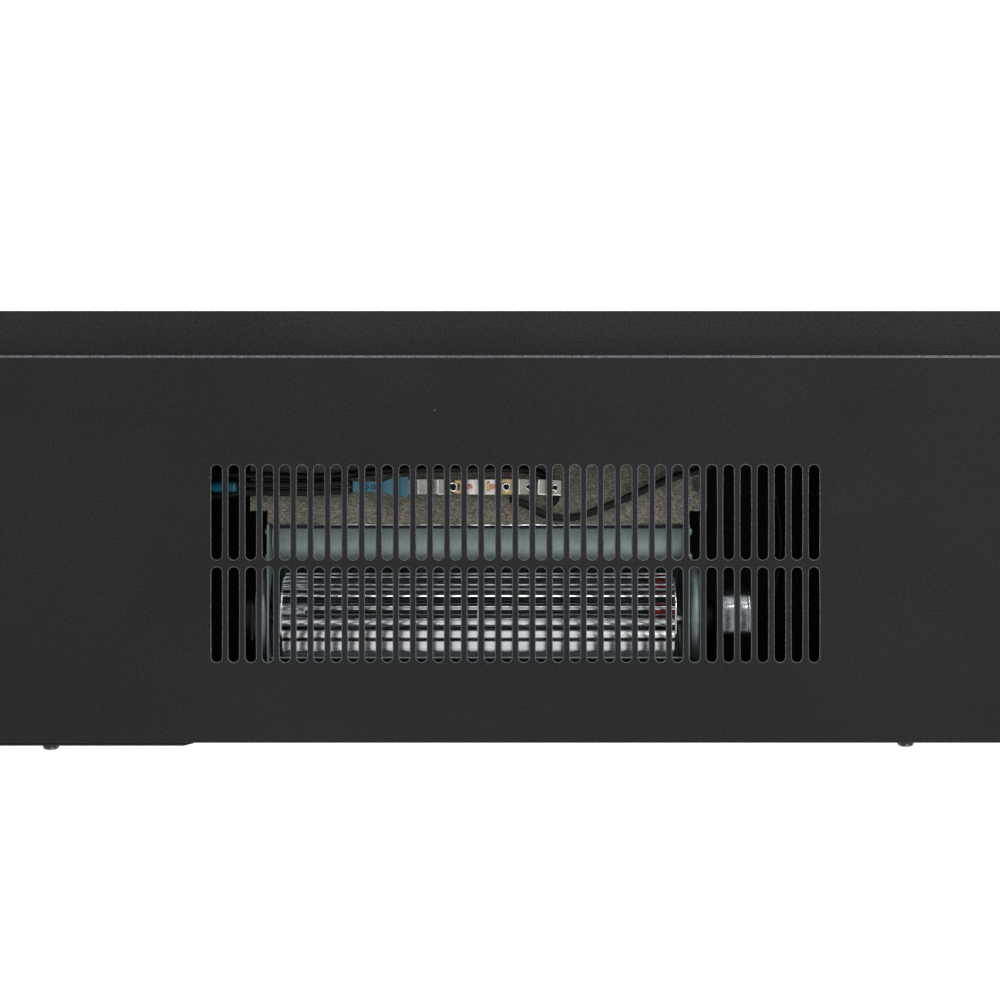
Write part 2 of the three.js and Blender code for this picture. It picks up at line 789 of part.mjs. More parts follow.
// An end plate: wraps the scroll's end, collared round the impeller, hung from the top by an ear.
function endPlate(side) {
  const x = ordered(side * xEndPlate, side * (xEndPlate + blowerSheet));
  const zLow = zAxis - scrollRadius - blowerSheet - fitGap;
  const yRearEdge = yFlangeRear - endPlateRearGap;
  const yEar = yRearEdge - earWidth;
  const zEar = zTop - sheet - fitGap;
  const zRim = zAxis + collarInner + collarRim;
  const outline = polygon([
    [yDuctRear + fitGap, zDuctFloor - blowerSheet - fitGap],
    [yAxis - hubRadius, zLow],
    [yRearEdge, zLow],
    [yRearEdge, zEar],
    [yEar, zEar],
    [yEar, zRim],
    [yDuctRear + fitGap, zRim],
  ]);
  outline.holes.push(roundHole(yAxis, zAxis, collarInner));
  const collar = ring(yAxis, zAxis, collarInner + blowerSheet, collarInner);
  return join(
    alongX(outline, x, 12),
    alongX(collar, ordered(side * xEndPlate, side * xCollarEnd), 12),
    block(ordered(side * xEndPlate, side * (xEndPlate + earReach)), [yEar, yRearEdge], [
      zEar - blowerSheet,
      zEar,
    ]),
  );
}
add("end_plate_left", endPlate(-1), "galvanised");
add("end_plate_right", endPlate(1), "galvanised");

// The sheet between the end plates: a lip under the duct's top board, a steep drop, then a long
// roll down to the impeller.
function cutoffPlate() {
  const yLipEnd = yDuctRear + cutoffLip;
  const zSheet = zUnderBoard - cutoffDrop;
  const yRoll = yCutoffTip - cutoffRoll - blowerSheet;
  const roll = arcPoints(yRoll, zSheet - cutoffRoll, cutoffRoll, 90, 15, 6);
  const lip = [
    [yDuctRear - boardOverhang, zUnderBoard],
    [yLipEnd, zUnderBoard],
    [yLipEnd + cutoffRamp, zSheet],
  ];
  return alongX(sheetSection([...lip, ...roll], -blowerSheet), [
    -xEndPlate + fitGap,
    xEndPlate - fitGap,
  ]);
}
add("cutoff_plate", cutoffPlate(), "galvanised");

// The scroll: round the back and under the impeller, then forward to the duct floor.
function scrollShell() {
  const arc = arcPoints(yAxis, zAxis, scrollRadius, 50, -110, 10);
  const section = sheetSection(
    [...arc, [yDuctRear + fitGap, zDuctFloor - boardThickness]],
    blowerSheet,
  );
  return alongX(section, [-xEndPlate + fitGap, xEndPlate - fitGap]);
}
add("scroll_shell", scrollShell(), "galvanised");

// A strap across an end plate's collar, bored for what it carries.
function bridge(side, bore) {
  const reach = collarInner + bridgeOverlap;
  const strap = rectangle(
    yAxis - bridgeWidth / 2,
    yAxis + bridgeWidth / 2,
    zAxis - collarInner - blowerSheet,
    zAxis + Math.min(reach, zTop - sheet - fitGap - zAxis),
  );
  strap.holes.push(roundHole(yAxis, zAxis, bore));
  return alongX(strap, ordered(side * xBridge, side * (xBridge + blowerSheet)), 6);
}
add("bearing_bridge", bridge(1, shaftRadius + fitGap), "blackPaint");
add("motor_bridge", bridge(-1, shaftRadius + fitGap), "blackPaint");
add(
  "blower_bearing",
  atImpeller(ring(0, 0, bearingRadius, shaftRadius + fitGap), [xBearing, xBearing + bearingLength]),
  "blackRubber",
);
add(
  "motor_mount",
  atImpeller(ring(0, 0, motorMountRadius, shaftRadius + fitGap), xMount),
  "blackRubber",
);
add("blower_motor", atImpeller(circle(0, 0, motorRadius), xMotor), "plated");

// ---------------------------------------------------------------- heater
const xBoard = xSideBoard + boardOverhang;

// A board of the duct, its rear corners notched; the top one has a hole for a side board's tab.
function ductBoard(zRange, holes) {
  const xNotch = xEndPlate + blowerSheet;
  const yNotch = yDuctRear - ductRearNotch;
  const outline = polygon([
    [-xBoard, yDuctFront],
    [xBoard, yDuctFront],
    [xBoard, yNotch],
    [xNotch, yNotch],
    [xNotch, yDuctRear],
    [-xNotch, yDuctRear],
    [-xNotch, yNotch],
    [-xBoard, yNotch],
  ]);
  outline.holes.push(...holes);
  return alongZ(outline, zRange);
}
const xTab = -xBoard + tabHoleInset;
const yTab = yDuctRear - tabHoleSetback;
const tabHole = rectangle(
  xTab - tabHoleWidth / 2,
  xTab + tabHoleWidth / 2,
  yTab - tabHoleLength / 2,
  yTab + tabHoleLength / 2,
);
const zTopBoard = [zBoardTop - boardThickness, zBoardTop];
add("heater_top_board", ductBoard(zTopBoard, [tabHole]), "mica");
add("heater_floor_board", ductBoard([zDuctFloor - boardThickness, zDuctFloor], []), "mica");
for (const [name, side] of [["heater_side_board_left", -1], ["heater_side_board_right", 1]])
  add(
    name,
    block(
      ordered(side * xSideBoard, side * (xSideBoard + boardThickness)),
      [yDuctFront, yDuctRear - ductRearNotch],
      [zDuctFloor + fitGap, zBoardTop - boardThickness - fitGap],
    ),
    "mica",
  );

// A ribbon folded up and down across the duct.
function heaterElement() {
  const z = [zDuctFloor + fitGap, zUnderBoard - elementRibbon];
  const reach = xSideBoard - elementEndGap;
  const points = Array.from({ length: elementFolds + 1 }, (_, i) => {
    const x = -reach + (2 * reach * i) / elementFolds;
    return [x, i % 2 ? z[0] + elementRibbon * 2 : z[1] - elementRibbon * 2];
  });
  const y = yDuctFront + elementSetback;
  return alongY(sheetSection(points, elementRibbon), [y, y + elementWidth]);
}
add("heater_element", heaterElement(), "plated");

// ---------------------------------------------------------------- thermostat, connectors and leads
const yTerminal = yCaseFront + terminalSetback;
const zTerminal = zBoardTop + terminalLift;

// A riveted metal strip standing on short eyelets over the board.
function terminalStrip(x, stations, lift) {
  const half = terminalWidth / 2;
  const z = zBoardTop + lift;
  const zEyelet = z + terminalThickness + eyeletProud;
  const strip = block(x, [yTerminal - half, yTerminal + half], [z, z + terminalThickness]);
  const eyelets = stations.map((station) =>
    alongZ(circle(x[1] - station, yTerminal, eyeletRadius), [zBoardTop + fitGap, zEyelet], 4),
  );
  const bores = stations.map((station) =>
    alongZ(circle(x[1] - station, yTerminal, eyeletBore), [z, zEyelet + 1], 3),
  );
  return cut(join(strip, ...eyelets), ...bores);
}
const xThermostat = [terminalStart - thermostatLength, terminalStart];
const xFuse = [xThermostat[0] - fuseStep - fuseLength, xThermostat[0] - fuseStep];
add("thermostat", terminalStrip(xThermostat, eyeletStation, terminalLift), "plated");
add("thermal_fuse", terminalStrip(xFuse, [fuseEyelet], fuseLift), "plated");

// A sleeved push-on connector: a wide body and a narrower crimp, pointing along X.
function connector(xStart) {
  const z = [zBoardTop + fitGap, zBoardTop + fitGap + connectorHeight];
  const half = connectorWidth / 2;
  const crimp = crimpWidth / 2;
  const xShoulder = xStart + connectorLength - crimpLength;
  const outline = polygon([
    [xStart, -half],
    [xShoulder - half, -half],
    [xShoulder, -crimp],
    [xStart + connectorLength, -crimp],
    [xStart + connectorLength, crimp],
    [xShoulder, crimp],
    [xShoulder - half, half],
    [xStart, half],
  ]);
  return alongZ(outline, z).translate(0, yTerminal, 0);
}
add("lead_connector", connector(terminalStart + fitGap), "blueSleeve");

// The box that switches the heater, fan and lights, on the roof of the flame box.
const yDriver = yCaseFront + driverBoxSetback;
const zDriver = zRoof + sheet + fitGap;
add(
  "driver_box",
  block(
    [driverBoxStart, driverBoxStart + driverBoxSize[0]],
    [yDriver, yDriver + driverBoxSize[1]],
    [zDriver, zDriver + driverBoxSize[2]],
  ),
  "blackPaint",
);

// Leads: each runs along hand-placed points, most of them lying on the heater's top board.
const zLead = zBoardTop + fitGap + leadDiameter / 2;
const xCrimpEnd = terminalStart + fitGap + connectorLength;
const leads = {
  lead_heater_near: [
    [xCrimpEnd + fitGap, yTerminal + 1.7, zTerminal + 1],
    [75, yTerminal + 2.4, zTerminal + 1],
    [99, yTerminal + 2.4, zTerminal],
    [122, yTerminal + 6, zTerminal - 9],
    [152, yTerminal + 13, zTerminal - 22],
    [driverBoxStart - leadDiameter, yTerminal + 16, zDriver + 16],
  ],
  lead_heater_far: [
    [xCrimpEnd + fitGap, yTerminal - 1.7, zTerminal + 1],
    [75, yTerminal - 1, zTerminal + 1],
    [99, yTerminal - 1, zTerminal],
    [122, yTerminal, zTerminal - 9],
    [152, yTerminal + 4, zTerminal - 21],
    [driverBoxStart - leadDiameter, yTerminal + 6, zDriver + 16],
  ],
  lead_sensor: [
    [driverBoxStart - leadDiameter, yTerminal - 4, zDriver + 16],
    [152, yTerminal - 5, zLead - 20],
    [122, yTerminal - 6, zLead - 9],
    [99, yTerminal - 5, zLead],
    [75, yTerminal - 4.4, zLead],
    [62, yTerminal - 4.4, zLead],
    [50, yTerminal - 5.6, zLead],
    [37, yTerminal - 7, zLead],
    [25, yTerminal - 7.4, zLead],
    [4, yTerminal - 7.5, zLead],
    [-18, yTerminal - 7.2, zLead],
    [-26, yTerminal - 5.8, zLead],
    [-31, yTerminal - 2.2, zLead],
    [-33, yTerminal + 2.6, zLead],
    [-32.2, yTerminal + 6.6, zLead],
    [-28.6, yTerminal + 8, zLead],
  ],
  lead_fan: [
    [-13, yTerminal + 5.2, zLead],
    [-19, yTerminal + 6.8, zLead],
    [-26, yTerminal + 11.2, zLead],
    [-34, yTerminal + 13, zLead],
    [-41, yTerminal + 12.4, zLead],
    [-55, yTerminal + 7.4, zLead],
    [-69, yTerminal + 1.2, zLead],
    [-83, yTerminal - 4.7, zLead],
    [-91, yTerminal - 6.6, zLead],
    [-98, yTerminal - 10, zLead - 0.6],
    [-106, yTerminal - 14, zLead - 9],
    [-116, yTerminal - 14, zLead - 24],
    [-127, yTerminal - 4, zRoof + 14],
    [-132, yTerminal + 18, zRoof + 10],
    [-131, yAxis - 18, zRoof + 9],
    [-126, yAxis - 4, zRoof + 14],
    [xMotor[0] - leadDiameter, yAxis, zAxis - 7],
  ],
};
for (const [name, points] of Object.entries(leads))
  add(name, wire(points, leadDiameter, 3 * points.length), "blackSleeve");

// ---------------------------------------------------------------- flame box
const yRoof = [yCaseFront + sheet + fitGap, yFlangeRear - fitGap];
const halfInside = halfCase - sheet - fitGap;
const zFloor = zBase + sheet + fitGap;
const zUnderRoof = zRoof - fitGap;
add("firebox_roof", block([-halfInside, halfInside], yRoof, [zRoof, zRoof + sheet]), "blackPaint");
for (const [name, side] of [["firebox_side_left", -1], ["firebox_side_right", 1]]) {
  const x = side * (halfOpening + fireboxSideGap);
  const y = [yRoof[0], yScreen - fitGap];
  add(name, block(ordered(x, x + side * sheet), y, [zFloor, zUnderRoof]), "blackPaint");
}
const halfScreen = halfInside - screenInset;
add(
  "flame_screen",
  block([-halfScreen, halfScreen], [yScreen, yScreen + screenThickness], [zFloor, zUnderRoof]),
  "frosted",
);

// The ember tray is an open box; the clear media bed covers it like a lid.
const halfTray = halfOpening + fireboxSideGap - traySetback;
const yTray = [yCaseFront + traySetback, yScreen - trayScreenGap];
const zTray = [zFloor, zFloor + trayHeight];
add(
  "ember_tray",
  cut(
    block([-halfTray, halfTray], yTray, zTray),
    block(
      [-halfTray + trayWall, halfTray - trayWall],
      [yTray[0] + trayWall, yTray[1] - trayWall],
      [zTray[0] + trayWall, zTray[1] + 1],
    ),
  ),
  "blackPaint",
);
const zBed = [zTray[1] + fitGap, zTray[1] + fitGap + bedHeight];
add("ember_bed", block([-halfTray, halfTray], yTray, zBed), "crystals");

function lightBoard(halfLength, y, zUnder) {
  const depth = [y - lightBoardWidth / 2, y + lightBoardWidth / 2];
  const zBoard = [zUnder + lightBoardLift, zUnder + lightBoardLift + lightBoardThickness];
  const [footLength, footWidth] = lightFootSize;
  const foot = (x) =>
    block(
      [x - footLength / 2, x + footLength / 2],
      [y - footWidth / 2, y + footWidth / 2],
      [zUnder, zBoard[1]],
    );
  return join(
    block([-halfLength, halfLength], depth, zBoard),
    foot(-halfLength / 2),
    foot(halfLength / 2),
  );
}
const yTrayMiddle = (yTray[0] + yTray[1]) / 2;
const yRotor = yScreen + screenThickness + rotorScreenGap;
const zRotor = zBase + rotorHeight;
add(
  "ember_light_board",
  lightBoard(halfTray - fireboxSideGap, yTrayMiddle, zTray[0] + trayWall + fitGap),
  "circuit",
);
add("flame_light_board", lightBoard(rotorLength / 2 - bushLength, yRotor, zFloor), "circuit");

// Logs lie across the media, each a bent round on hand-placed points.
const zLog = zBed[1] + fitGap + logRadius;
const logs = [
  [[-330, -12, 0], [-255, -8, 1], [-180, -2, 4], [-120, 4, 3]],
  [[-78, 12, 2], [-10, 6, 0], [60, -2, 3], [112, -12, 6]],
  [[160, 6, 0], [220, -2, 3], [280, -10, 2], [345, -12, 4]],
];
logs.forEach((points, i) => {
  const lifted = points.map(([x, y, z]) => [x, yTrayMiddle + y, zLog + z]);
  add(`log_${i + 1}`, wire(lifted, 2 * logRadius, 10, 10), "driftwood");
});

// The flicker rotor: a rod with mirror paddles set round it in a slow twist.
function flickerRotor() {
  const rod = alongX(circle(0, 0, rotorRodRadius), [-rotorLength / 2, rotorLength / 2], 6);
  const paddlePitch = (rotorLength - 4 * bushLength) / paddleCount;
  const width = paddlePitch * paddleShare;
  const paddles = Array.from({ length: paddleCount }, (_, i) => {
    const x = (i - (paddleCount - 1) / 2) * paddlePitch;
    const half = paddleThickness / 2;
    const reach = rotorRodRadius + paddleReach;
    return block([x - width / 2, x + width / 2], [-half, half], [-reach, reach]).rotateX(
      radians(i * paddleTurn),
    );
  });
  return join(rod, ...paddles);
}
add("flicker_rotor", flickerRotor(), "polished").position.set(0, yRotor, zRotor);

// A stand with a bush that carries one end of the rotor.
function rotorStand(side) {
  const xBush = side * (rotorLength / 2 - bushLength / 2);
  const x = [xBush - bushLength / 2, xBush + bushLength / 2];
  const post = rectangle(
    yRotor - standWidth / 2,
    yRotor + standWidth / 2,
    zFloor,
    zRotor + bushRadius + standThickness,
  );
  const bore = roundHole(yRotor, zRotor, rotorRodRadius + fitGap);
  post.holes.push(bore);
  const bush = ring(yRotor, zRotor, bushRadius, rotorRodRadius + fitGap);
  return join(
    alongX(post, [xBush - standThickness / 2, xBush + standThickness / 2], 6),
    alongX(bush, x, 6),
  );
}
add("rotor_stand_left", rotorStand(-1), "galvanised");
add("rotor_stand_right", rotorStand(1), "galvanised");
const xFlickerMotor = -rotorLength / 2 - fitGap;
add(
  "flicker_motor",
  alongX(circle(yRotor, zRotor, flickerMotorRadius), [
    xFlickerMotor - flickerMotorLength,
    xFlickerMotor,
  ]),
  "plated",
);

export default fireplace;
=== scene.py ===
"""A built-in linear electric fireplace, finished around its CAD frame.

Metres, +Z up, the glass faces -Y. Places come from the frame's own boxes.
"""
import json
import math
import random

import bmesh
import bpy
from mathutils import Matrix, Vector, noise

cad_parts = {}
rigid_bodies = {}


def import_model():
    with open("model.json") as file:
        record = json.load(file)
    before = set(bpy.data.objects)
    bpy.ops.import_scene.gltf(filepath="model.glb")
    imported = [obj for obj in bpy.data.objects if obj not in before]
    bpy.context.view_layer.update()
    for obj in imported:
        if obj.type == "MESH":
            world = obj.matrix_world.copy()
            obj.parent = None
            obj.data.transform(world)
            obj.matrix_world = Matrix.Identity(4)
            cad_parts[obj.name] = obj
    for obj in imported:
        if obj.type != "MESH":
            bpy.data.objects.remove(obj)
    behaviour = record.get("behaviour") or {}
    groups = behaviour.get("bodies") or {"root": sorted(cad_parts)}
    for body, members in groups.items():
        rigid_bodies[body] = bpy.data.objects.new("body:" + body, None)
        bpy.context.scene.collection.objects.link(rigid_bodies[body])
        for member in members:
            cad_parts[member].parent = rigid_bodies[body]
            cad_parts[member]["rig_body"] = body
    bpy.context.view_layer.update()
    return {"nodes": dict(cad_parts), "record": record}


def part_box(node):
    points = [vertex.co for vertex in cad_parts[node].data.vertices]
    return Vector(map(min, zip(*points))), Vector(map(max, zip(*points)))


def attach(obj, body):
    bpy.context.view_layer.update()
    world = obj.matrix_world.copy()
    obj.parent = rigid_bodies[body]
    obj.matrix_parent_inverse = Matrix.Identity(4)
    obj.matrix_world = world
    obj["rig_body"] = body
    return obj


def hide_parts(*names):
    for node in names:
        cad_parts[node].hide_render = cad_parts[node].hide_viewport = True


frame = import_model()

MM = 0.001
scene = bpy.context.scene

# ---------------------------------------------------------------- sizes
SHEET = 1.0 * MM
BEND_RADIUS = 1.5 * MM
FLANGE = 14 * MM
SLOT_WIDTH = 4.5 * MM
SLOT_LENGTH = 39 * MM
SLOT_PITCH = 7 * MM
SLOT_ROW_PITCH = 42 * MM
SLOT_SETBACK = 45 * MM
SLOTS_PER_ROW = 36
INTAKE_SHIFT = -15.3 * MM
SLOT_RIM = 0.3 * MM

CAMERA_HEIGHT = 800 * MM
CAMERA_SHIFT_X = -9 * MM
CAMERA_SETBACK = 59.45 * MM
FIELD_WIDTH = 410 * MM
SENSOR = 36

case_low, case_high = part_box("top_panel")
TOP = case_high.z
CASE_FRONT = case_low.y
wheel_low, wheel_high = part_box("impeller_wheel")
AXIS_Y = (wheel_low.y + wheel_high.y) / 2
AXIS_Z = (wheel_low.z + wheel_high.z) / 2
WHEEL_RADIUS = (wheel_high.z - wheel_low.z) / 2


# ---------------------------------------------------------------- shader helpers
class Value:
    """A shader socket that takes part in arithmetic; each operation adds a Math node."""

    def __init__(self, tree, socket):
        self.tree = tree
        self.socket = socket

    def math(self, operation, *operands):
        node = self.tree.nodes.new("ShaderNodeMath")
        node.operation = operation
        for slot, operand in zip(node.inputs, operands):
            if isinstance(operand, Value):
                self.tree.links.new(operand.socket, slot)
            else:
                slot.default_value = operand
        return Value(self.tree, node.outputs[0])

    def __add__(self, other):
        return self.math("ADD", self, other)

    def __sub__(self, other):
        return self.math("SUBTRACT", self, other)

    def __mul__(self, other):
        return self.math("MULTIPLY", self, other)

    def __rsub__(self, other):
        return self.math("SUBTRACT", other, self)

    def __pow__(self, other):
        return self.math("POWER", self, other)

    def __gt__(self, other):
        return self.math("GREATER_THAN", self, other)

    __radd__ = __add__
    __rmul__ = __mul__


class Finish:
    """One material. add() makes any node: its settings first, then its sockets."""

    def __init__(self, name, color, roughness, metallic=0.0, **constants):
        self.material = bpy.data.materials.new(name)
        self.material.use_nodes = True
        self.tree = self.material.node_tree
        self.shader = self.tree.nodes["Principled BSDF"]
        self.place = self.add("ShaderNodeTexCoord", output="Object")
        self.set("Base Color", (*color, 1) if isinstance(color, tuple) else color)
        self.set("Roughness", roughness)
        self.set("Metallic", metallic)
        for key, constant in constants.items():
            self.set(key.replace("_", " "), constant)

    def add(self, kind, inputs=None, output=0, stops=None, **settings):
        node = self.tree.nodes.new(kind)
        for key, setting in settings.items():
            setattr(node, key, setting)
        if stops:
            ramp = node.color_ramp.elements
            while len(ramp) < len(stops):
                ramp.new(0.5)
            for element, (position, color) in zip(ramp, stops):
                element.position = position
                element.color = (*color, 1)
        for key, given in (inputs or {}).items():
            self.feed(node.inputs[key], given)
        return Value(self.tree, node.outputs[output])

    def feed(self, slot, given):
        if isinstance(given, Value):
            self.tree.links.new(given.socket, slot)
        else:
            slot.default_value = given

    def set(self, name, given):
        self.feed(self.shader.inputs[name], given)

    def stretched(self, x=1.0, y=1.0, z=1.0):
        return self.add("ShaderNodeMapping", {"Vector": self.place, "Scale": (x, y, z)})

    def noise(self, grain, detail=2.0, roughness=0.5, vector=None):
        inputs = {
            "Vector": vector or self.place,
            "Scale": 1 / grain,
            "Detail": detail,
            "Roughness": roughness,
        }
        return self.add("ShaderNodeTexNoise", inputs)

    def cells(self, grain, output="Color", vector=None, feature="F1"):
        inputs = {"Vector": vector or self.place, "Scale": 1 / grain}
        return self.add("ShaderNodeTexVoronoi", inputs, output=output, feature=feature)

    def ramp(self, factor, *stops):
        return self.add("ShaderNodeValToRGB", {"Fac": factor}, stops=stops)

    def blend(self, factor, a, b):
        node_inputs = {"Factor": factor, 6: a, 7: b}
        return self.add("ShaderNodeMix", node_inputs, output=2, data_type="RGBA")

    def span(self, value, low, high, start=0.0, end=1.0):
        inputs = {
            "Value": value,
            "From Min": start,
            "From Max": end,
            "To Min": low,
            "To Max": high,
        }
        return self.add("ShaderNodeMapRange", inputs)

    def bump(self, height, distance, strength=1.0, over=None):
        inputs = {"Height": height, "Distance": distance, "Strength": strength}
        if over:
            inputs["Normal"] = over
        return self.add("ShaderNodeBump", inputs)


def grey(level):
    return (level, level, level)


# ---------------------------------------------------------------- finishes
def powder_coat(name, tone, roughness, texture=0.1 * MM):
    """Textured powder coat: orange peel over fine sand, with a few pale dust specks."""
    coat = Finish(name, grey(0.02), roughness, IOR=1.5, Specular_IOR_Level=0.2)
    peel = coat.noise(0.9 * MM, detail=2)
    sand = coat.noise(0.32 * MM, detail=3, roughness=0.7)
    patches = coat.noise(60 * MM, detail=3)
    shade = sand * 0.58 + patches * 0.1 + peel * 0.32
    darker = tuple(c * 0.5 for c in tone)
    paler = tuple(c * 1.8 for c in tone)
    body = coat.ramp(shade, (0.42, darker), (0.5, tone), (0.58, paler))
    dust = coat.cells(9 * MM, output="Distance")
    dust_here = coat.cells(9 * MM)
    rare = coat.add("ShaderNodeSeparateColor", {"Color": dust_here}) > 0.9
    speck = (1 - (dust > 0.022)) * rare
    coat.set("Base Color", coat.blend(speck * 0.6, body, (0.3, 0.3, 0.31, 1)))
    coat.set("Roughness", coat.span(peel * 0.6 + patches * 0.4, roughness - 0.08, roughness + 0.1))
    coat.set("Normal", coat.bump(sand * 0.6 + peel, texture))
    return coat.material


def galvanised():
    """Galvanised sheet: fine blue-grey zinc with a faint rolled grain across it."""
    zinc = Finish("galvanised_sheet", grey(0.4), 0.4, 1.0)
    spangle = zinc.cells(5 * MM)
    tone = zinc.add("ShaderNodeSeparateColor", {"Color": spangle})
    grain = zinc.noise(0.5 * MM, detail=3, vector=zinc.stretched(1, 0.05, 0.05))
    shade = tone * 0.2 + grain * 0.8
    stops = (0.25, (0.19, 0.24, 0.24)), (0.5, (0.24, 0.295, 0.295)), (0.8, (0.3, 0.355, 0.35))
    zinc.set("Base Color", zinc.ramp(shade, *stops))
    zinc.set("Roughness", zinc.span(shade, 0.5, 0.64))
    zinc.set("Normal", zinc.bump(grain, 0.008 * MM))
    return zinc.material


def rolled_aluminium():
    """Bright rolled strip: every streak runs the whole length, along X."""
    strip = Finish("rolled_aluminium", grey(0.8), 0.14, 1.0)
    streaks = strip.noise(0.6 * MM, detail=3, vector=strip.stretched(0.003, 1, 1))
    haze = strip.noise(24 * MM, detail=2)
    shade = streaks * 0.8 + haze * 0.2
    stops = (0.3, (0.62, 0.64, 0.66)), (0.55, (0.82, 0.84, 0.86)), (0.8, (0.94, 0.95, 0.96))
    strip.set("Base Color", strip.ramp(shade, *stops))
    strip.set("Roughness", strip.span(shade, 0.09, 0.2))
    return strip.material


def turned_metal(name, dark, bright, roughness=0.25):
    """Plated or turned metal: broad soft stains and fine machining lines."""
    metal = Finish(name, grey(0.6), roughness, 1.0)
    lines = metal.noise(0.2 * MM, detail=2, vector=metal.stretched(1, 0.02, 0.02))
    stain = metal.noise(3 * MM, detail=2)
    shade = lines * 0.35 + stain * 0.65
    metal.set("Base Color", metal.ramp(shade, (0.3, dark), (0.7, bright)))
    metal.set("Roughness", metal.span(stain, roughness - 0.06, roughness + 0.08))
    metal.set("Normal", metal.bump(lines, 0.003 * MM))
    return metal.material


def mica_board():
    """Pressed mica: warm grey flakes, glittering a little, with darker gaps."""
    board = Finish("mica_board", grey(0.1), 0.6, IOR=1.55)
    flakes = board.cells(0.45 * MM, vector=board.stretched(0.6, 1, 1))
    flake = board.add("ShaderNodeSeparateColor", {"Color": flakes})
    clouds = board.noise(16 * MM, detail=4)
    grit = board.noise(0.3 * MM, detail=3, roughness=0.8, vector=board.stretched(0.5, 1, 1))
    shade = flake * 0.3 + clouds * 0.2 + grit * 0.5
    stops = (0.32, (0.034, 0.03, 0.02)), (0.5, (0.1, 0.09, 0.065)), (0.68, (0.26, 0.24, 0.185))
    board.set("Base Color", board.ramp(shade, *stops))
    board.set("Roughness", board.span(flake, 0.4, 0.8))
    board.set("Normal", board.bump(grit * 0.7 + flake * 0.3, 0.08 * MM))
    return board.material


def moulded(name, tone, roughness, grain=0.25 * MM, depth=0.02 * MM, **constants):
    """Moulded plastic or rubber with a fine spark-eroded texture."""
    plastic = Finish(name, tone, roughness, **constants)
    texture = plastic.noise(grain, detail=3)
    wear = plastic.noise(11 * MM, detail=4)
    darker = tuple(c * 0.8 for c in tone)
    paler = tuple(min(1, c * 1.25 + 0.002) for c in tone)
    plastic.set("Base Color", plastic.ramp(wear * 0.6 + texture * 0.4, (0.3, darker), (0.7, paler)))
    plastic.set("Roughness", plastic.span(wear, max(0.04, roughness - 0.06), roughness + 0.08))
    plastic.set("Normal", plastic.bump(texture, depth))
    return plastic.material


def solder_resist():
    """A circuit board: green lacquer with paler copper tracks under it."""
    board = Finish("solder_resist", (0.02, 0.14, 0.06), 0.35)
    tracks = board.add(
        "ShaderNodeTexBrick",
        {"Vector": board.place, "Scale": 1 / (6 * MM), "Mortar Size": 0.06},
        output="Fac",
    )
    patches = board.noise(4 * MM, detail=3)
    green = board.ramp(patches, (0.3, (0.012, 0.09, 0.035)), (0.7, (0.02, 0.15, 0.06)))
    board.set("Base Color", board.blend(tracks * 0.6, green, (0.05, 0.26, 0.1, 1)))
    board.set("Roughness", board.span(patches, 0.25, 0.45))
    board.set("Normal", board.bump(tracks, 0.05 * MM))
    return board.material


def driftwood():
    """Cast logs painted as weathered wood: long grain, dark cracks, pale ridges."""
    wood = Finish("driftwood", grey(0.2), 0.8)
    along = wood.stretched(0.12, 1, 1)
    grain = wood.noise(3 * MM, detail=6, roughness=0.65, vector=along)
    cracks = wood.noise(8 * MM, detail=5, roughness=0.7, vector=wood.stretched(0.07, 1, 1))
    char = wood.noise(45 * MM, detail=3)
    shade = grain * 0.45 + cracks * 0.3 + char * 0.25
    stops = (
        (0.34, (0.06, 0.04, 0.027)),
        (0.44, (0.24, 0.16, 0.1)),
        (0.54, (0.46, 0.33, 0.22)),
        (0.66, (0.68, 0.57, 0.44)),
    )
    wood.set("Base Color", wood.ramp(shade, *stops))
    wood.set("Roughness", wood.span(grain, 0.65, 0.95))
    wood.set("Normal", wood.bump(grain * 0.6 + cracks, 1.2 * MM))
    return wood.material


def crushed_glass():
    """Clear crushed glass with a cool tint, faintly clouded."""
    glass = Finish("crushed_glass", (0.75, 0.85, 0.9), 0.08, IOR=1.5, Transmission_Weight=0.6)
    cloud = glass.noise(4 * MM, detail=3)
    tint = glass.ramp(cloud, (0.3, (0.5, 0.64, 0.7)), (0.7, (0.86, 0.92, 0.95)))
    glass.set("Base Color", tint)
    glass.set("Roughness", glass.span(cloud, 0.03, 0.2))
    glass.set("Normal", glass.bump(cloud, 0.3 * MM))
    return glass.material


def front_pane():
    """Tinted glass with a black printed border that hides the lip behind it."""
    low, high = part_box("front_glass")
    border = 12 * MM
    pane = Finish("front_pane", (0.004, 0.004, 0.005), 0.03, IOR=1.52)
    axes = pane.add("ShaderNodeSeparateXYZ", {"Vector": pane.place})
    x = axes.math("ABSOLUTE", axes)
    z = Value(pane.tree, axes.socket.node.outputs["Z"])
    middle = (low.z + high.z) / 2
    across = (z - middle).math("ABSOLUTE", z - middle)
    printed_x = x > high.x - border
    printed_z = across > (high.z - low.z) / 2 - border
    printed = printed_x.math("MAXIMUM", printed_x, printed_z)
    smears = pane.noise(70 * MM, detail=5)
    pane.set("Alpha", pane.span(printed, 0.22, 1.0))
    pane.set("Roughness", pane.span(smears, 0.01, 0.03))
    ripple = pane.noise(160 * MM, detail=1)
    pane.set("Normal", pane.bump(ripple, 0.05 * MM))
    return pane.material


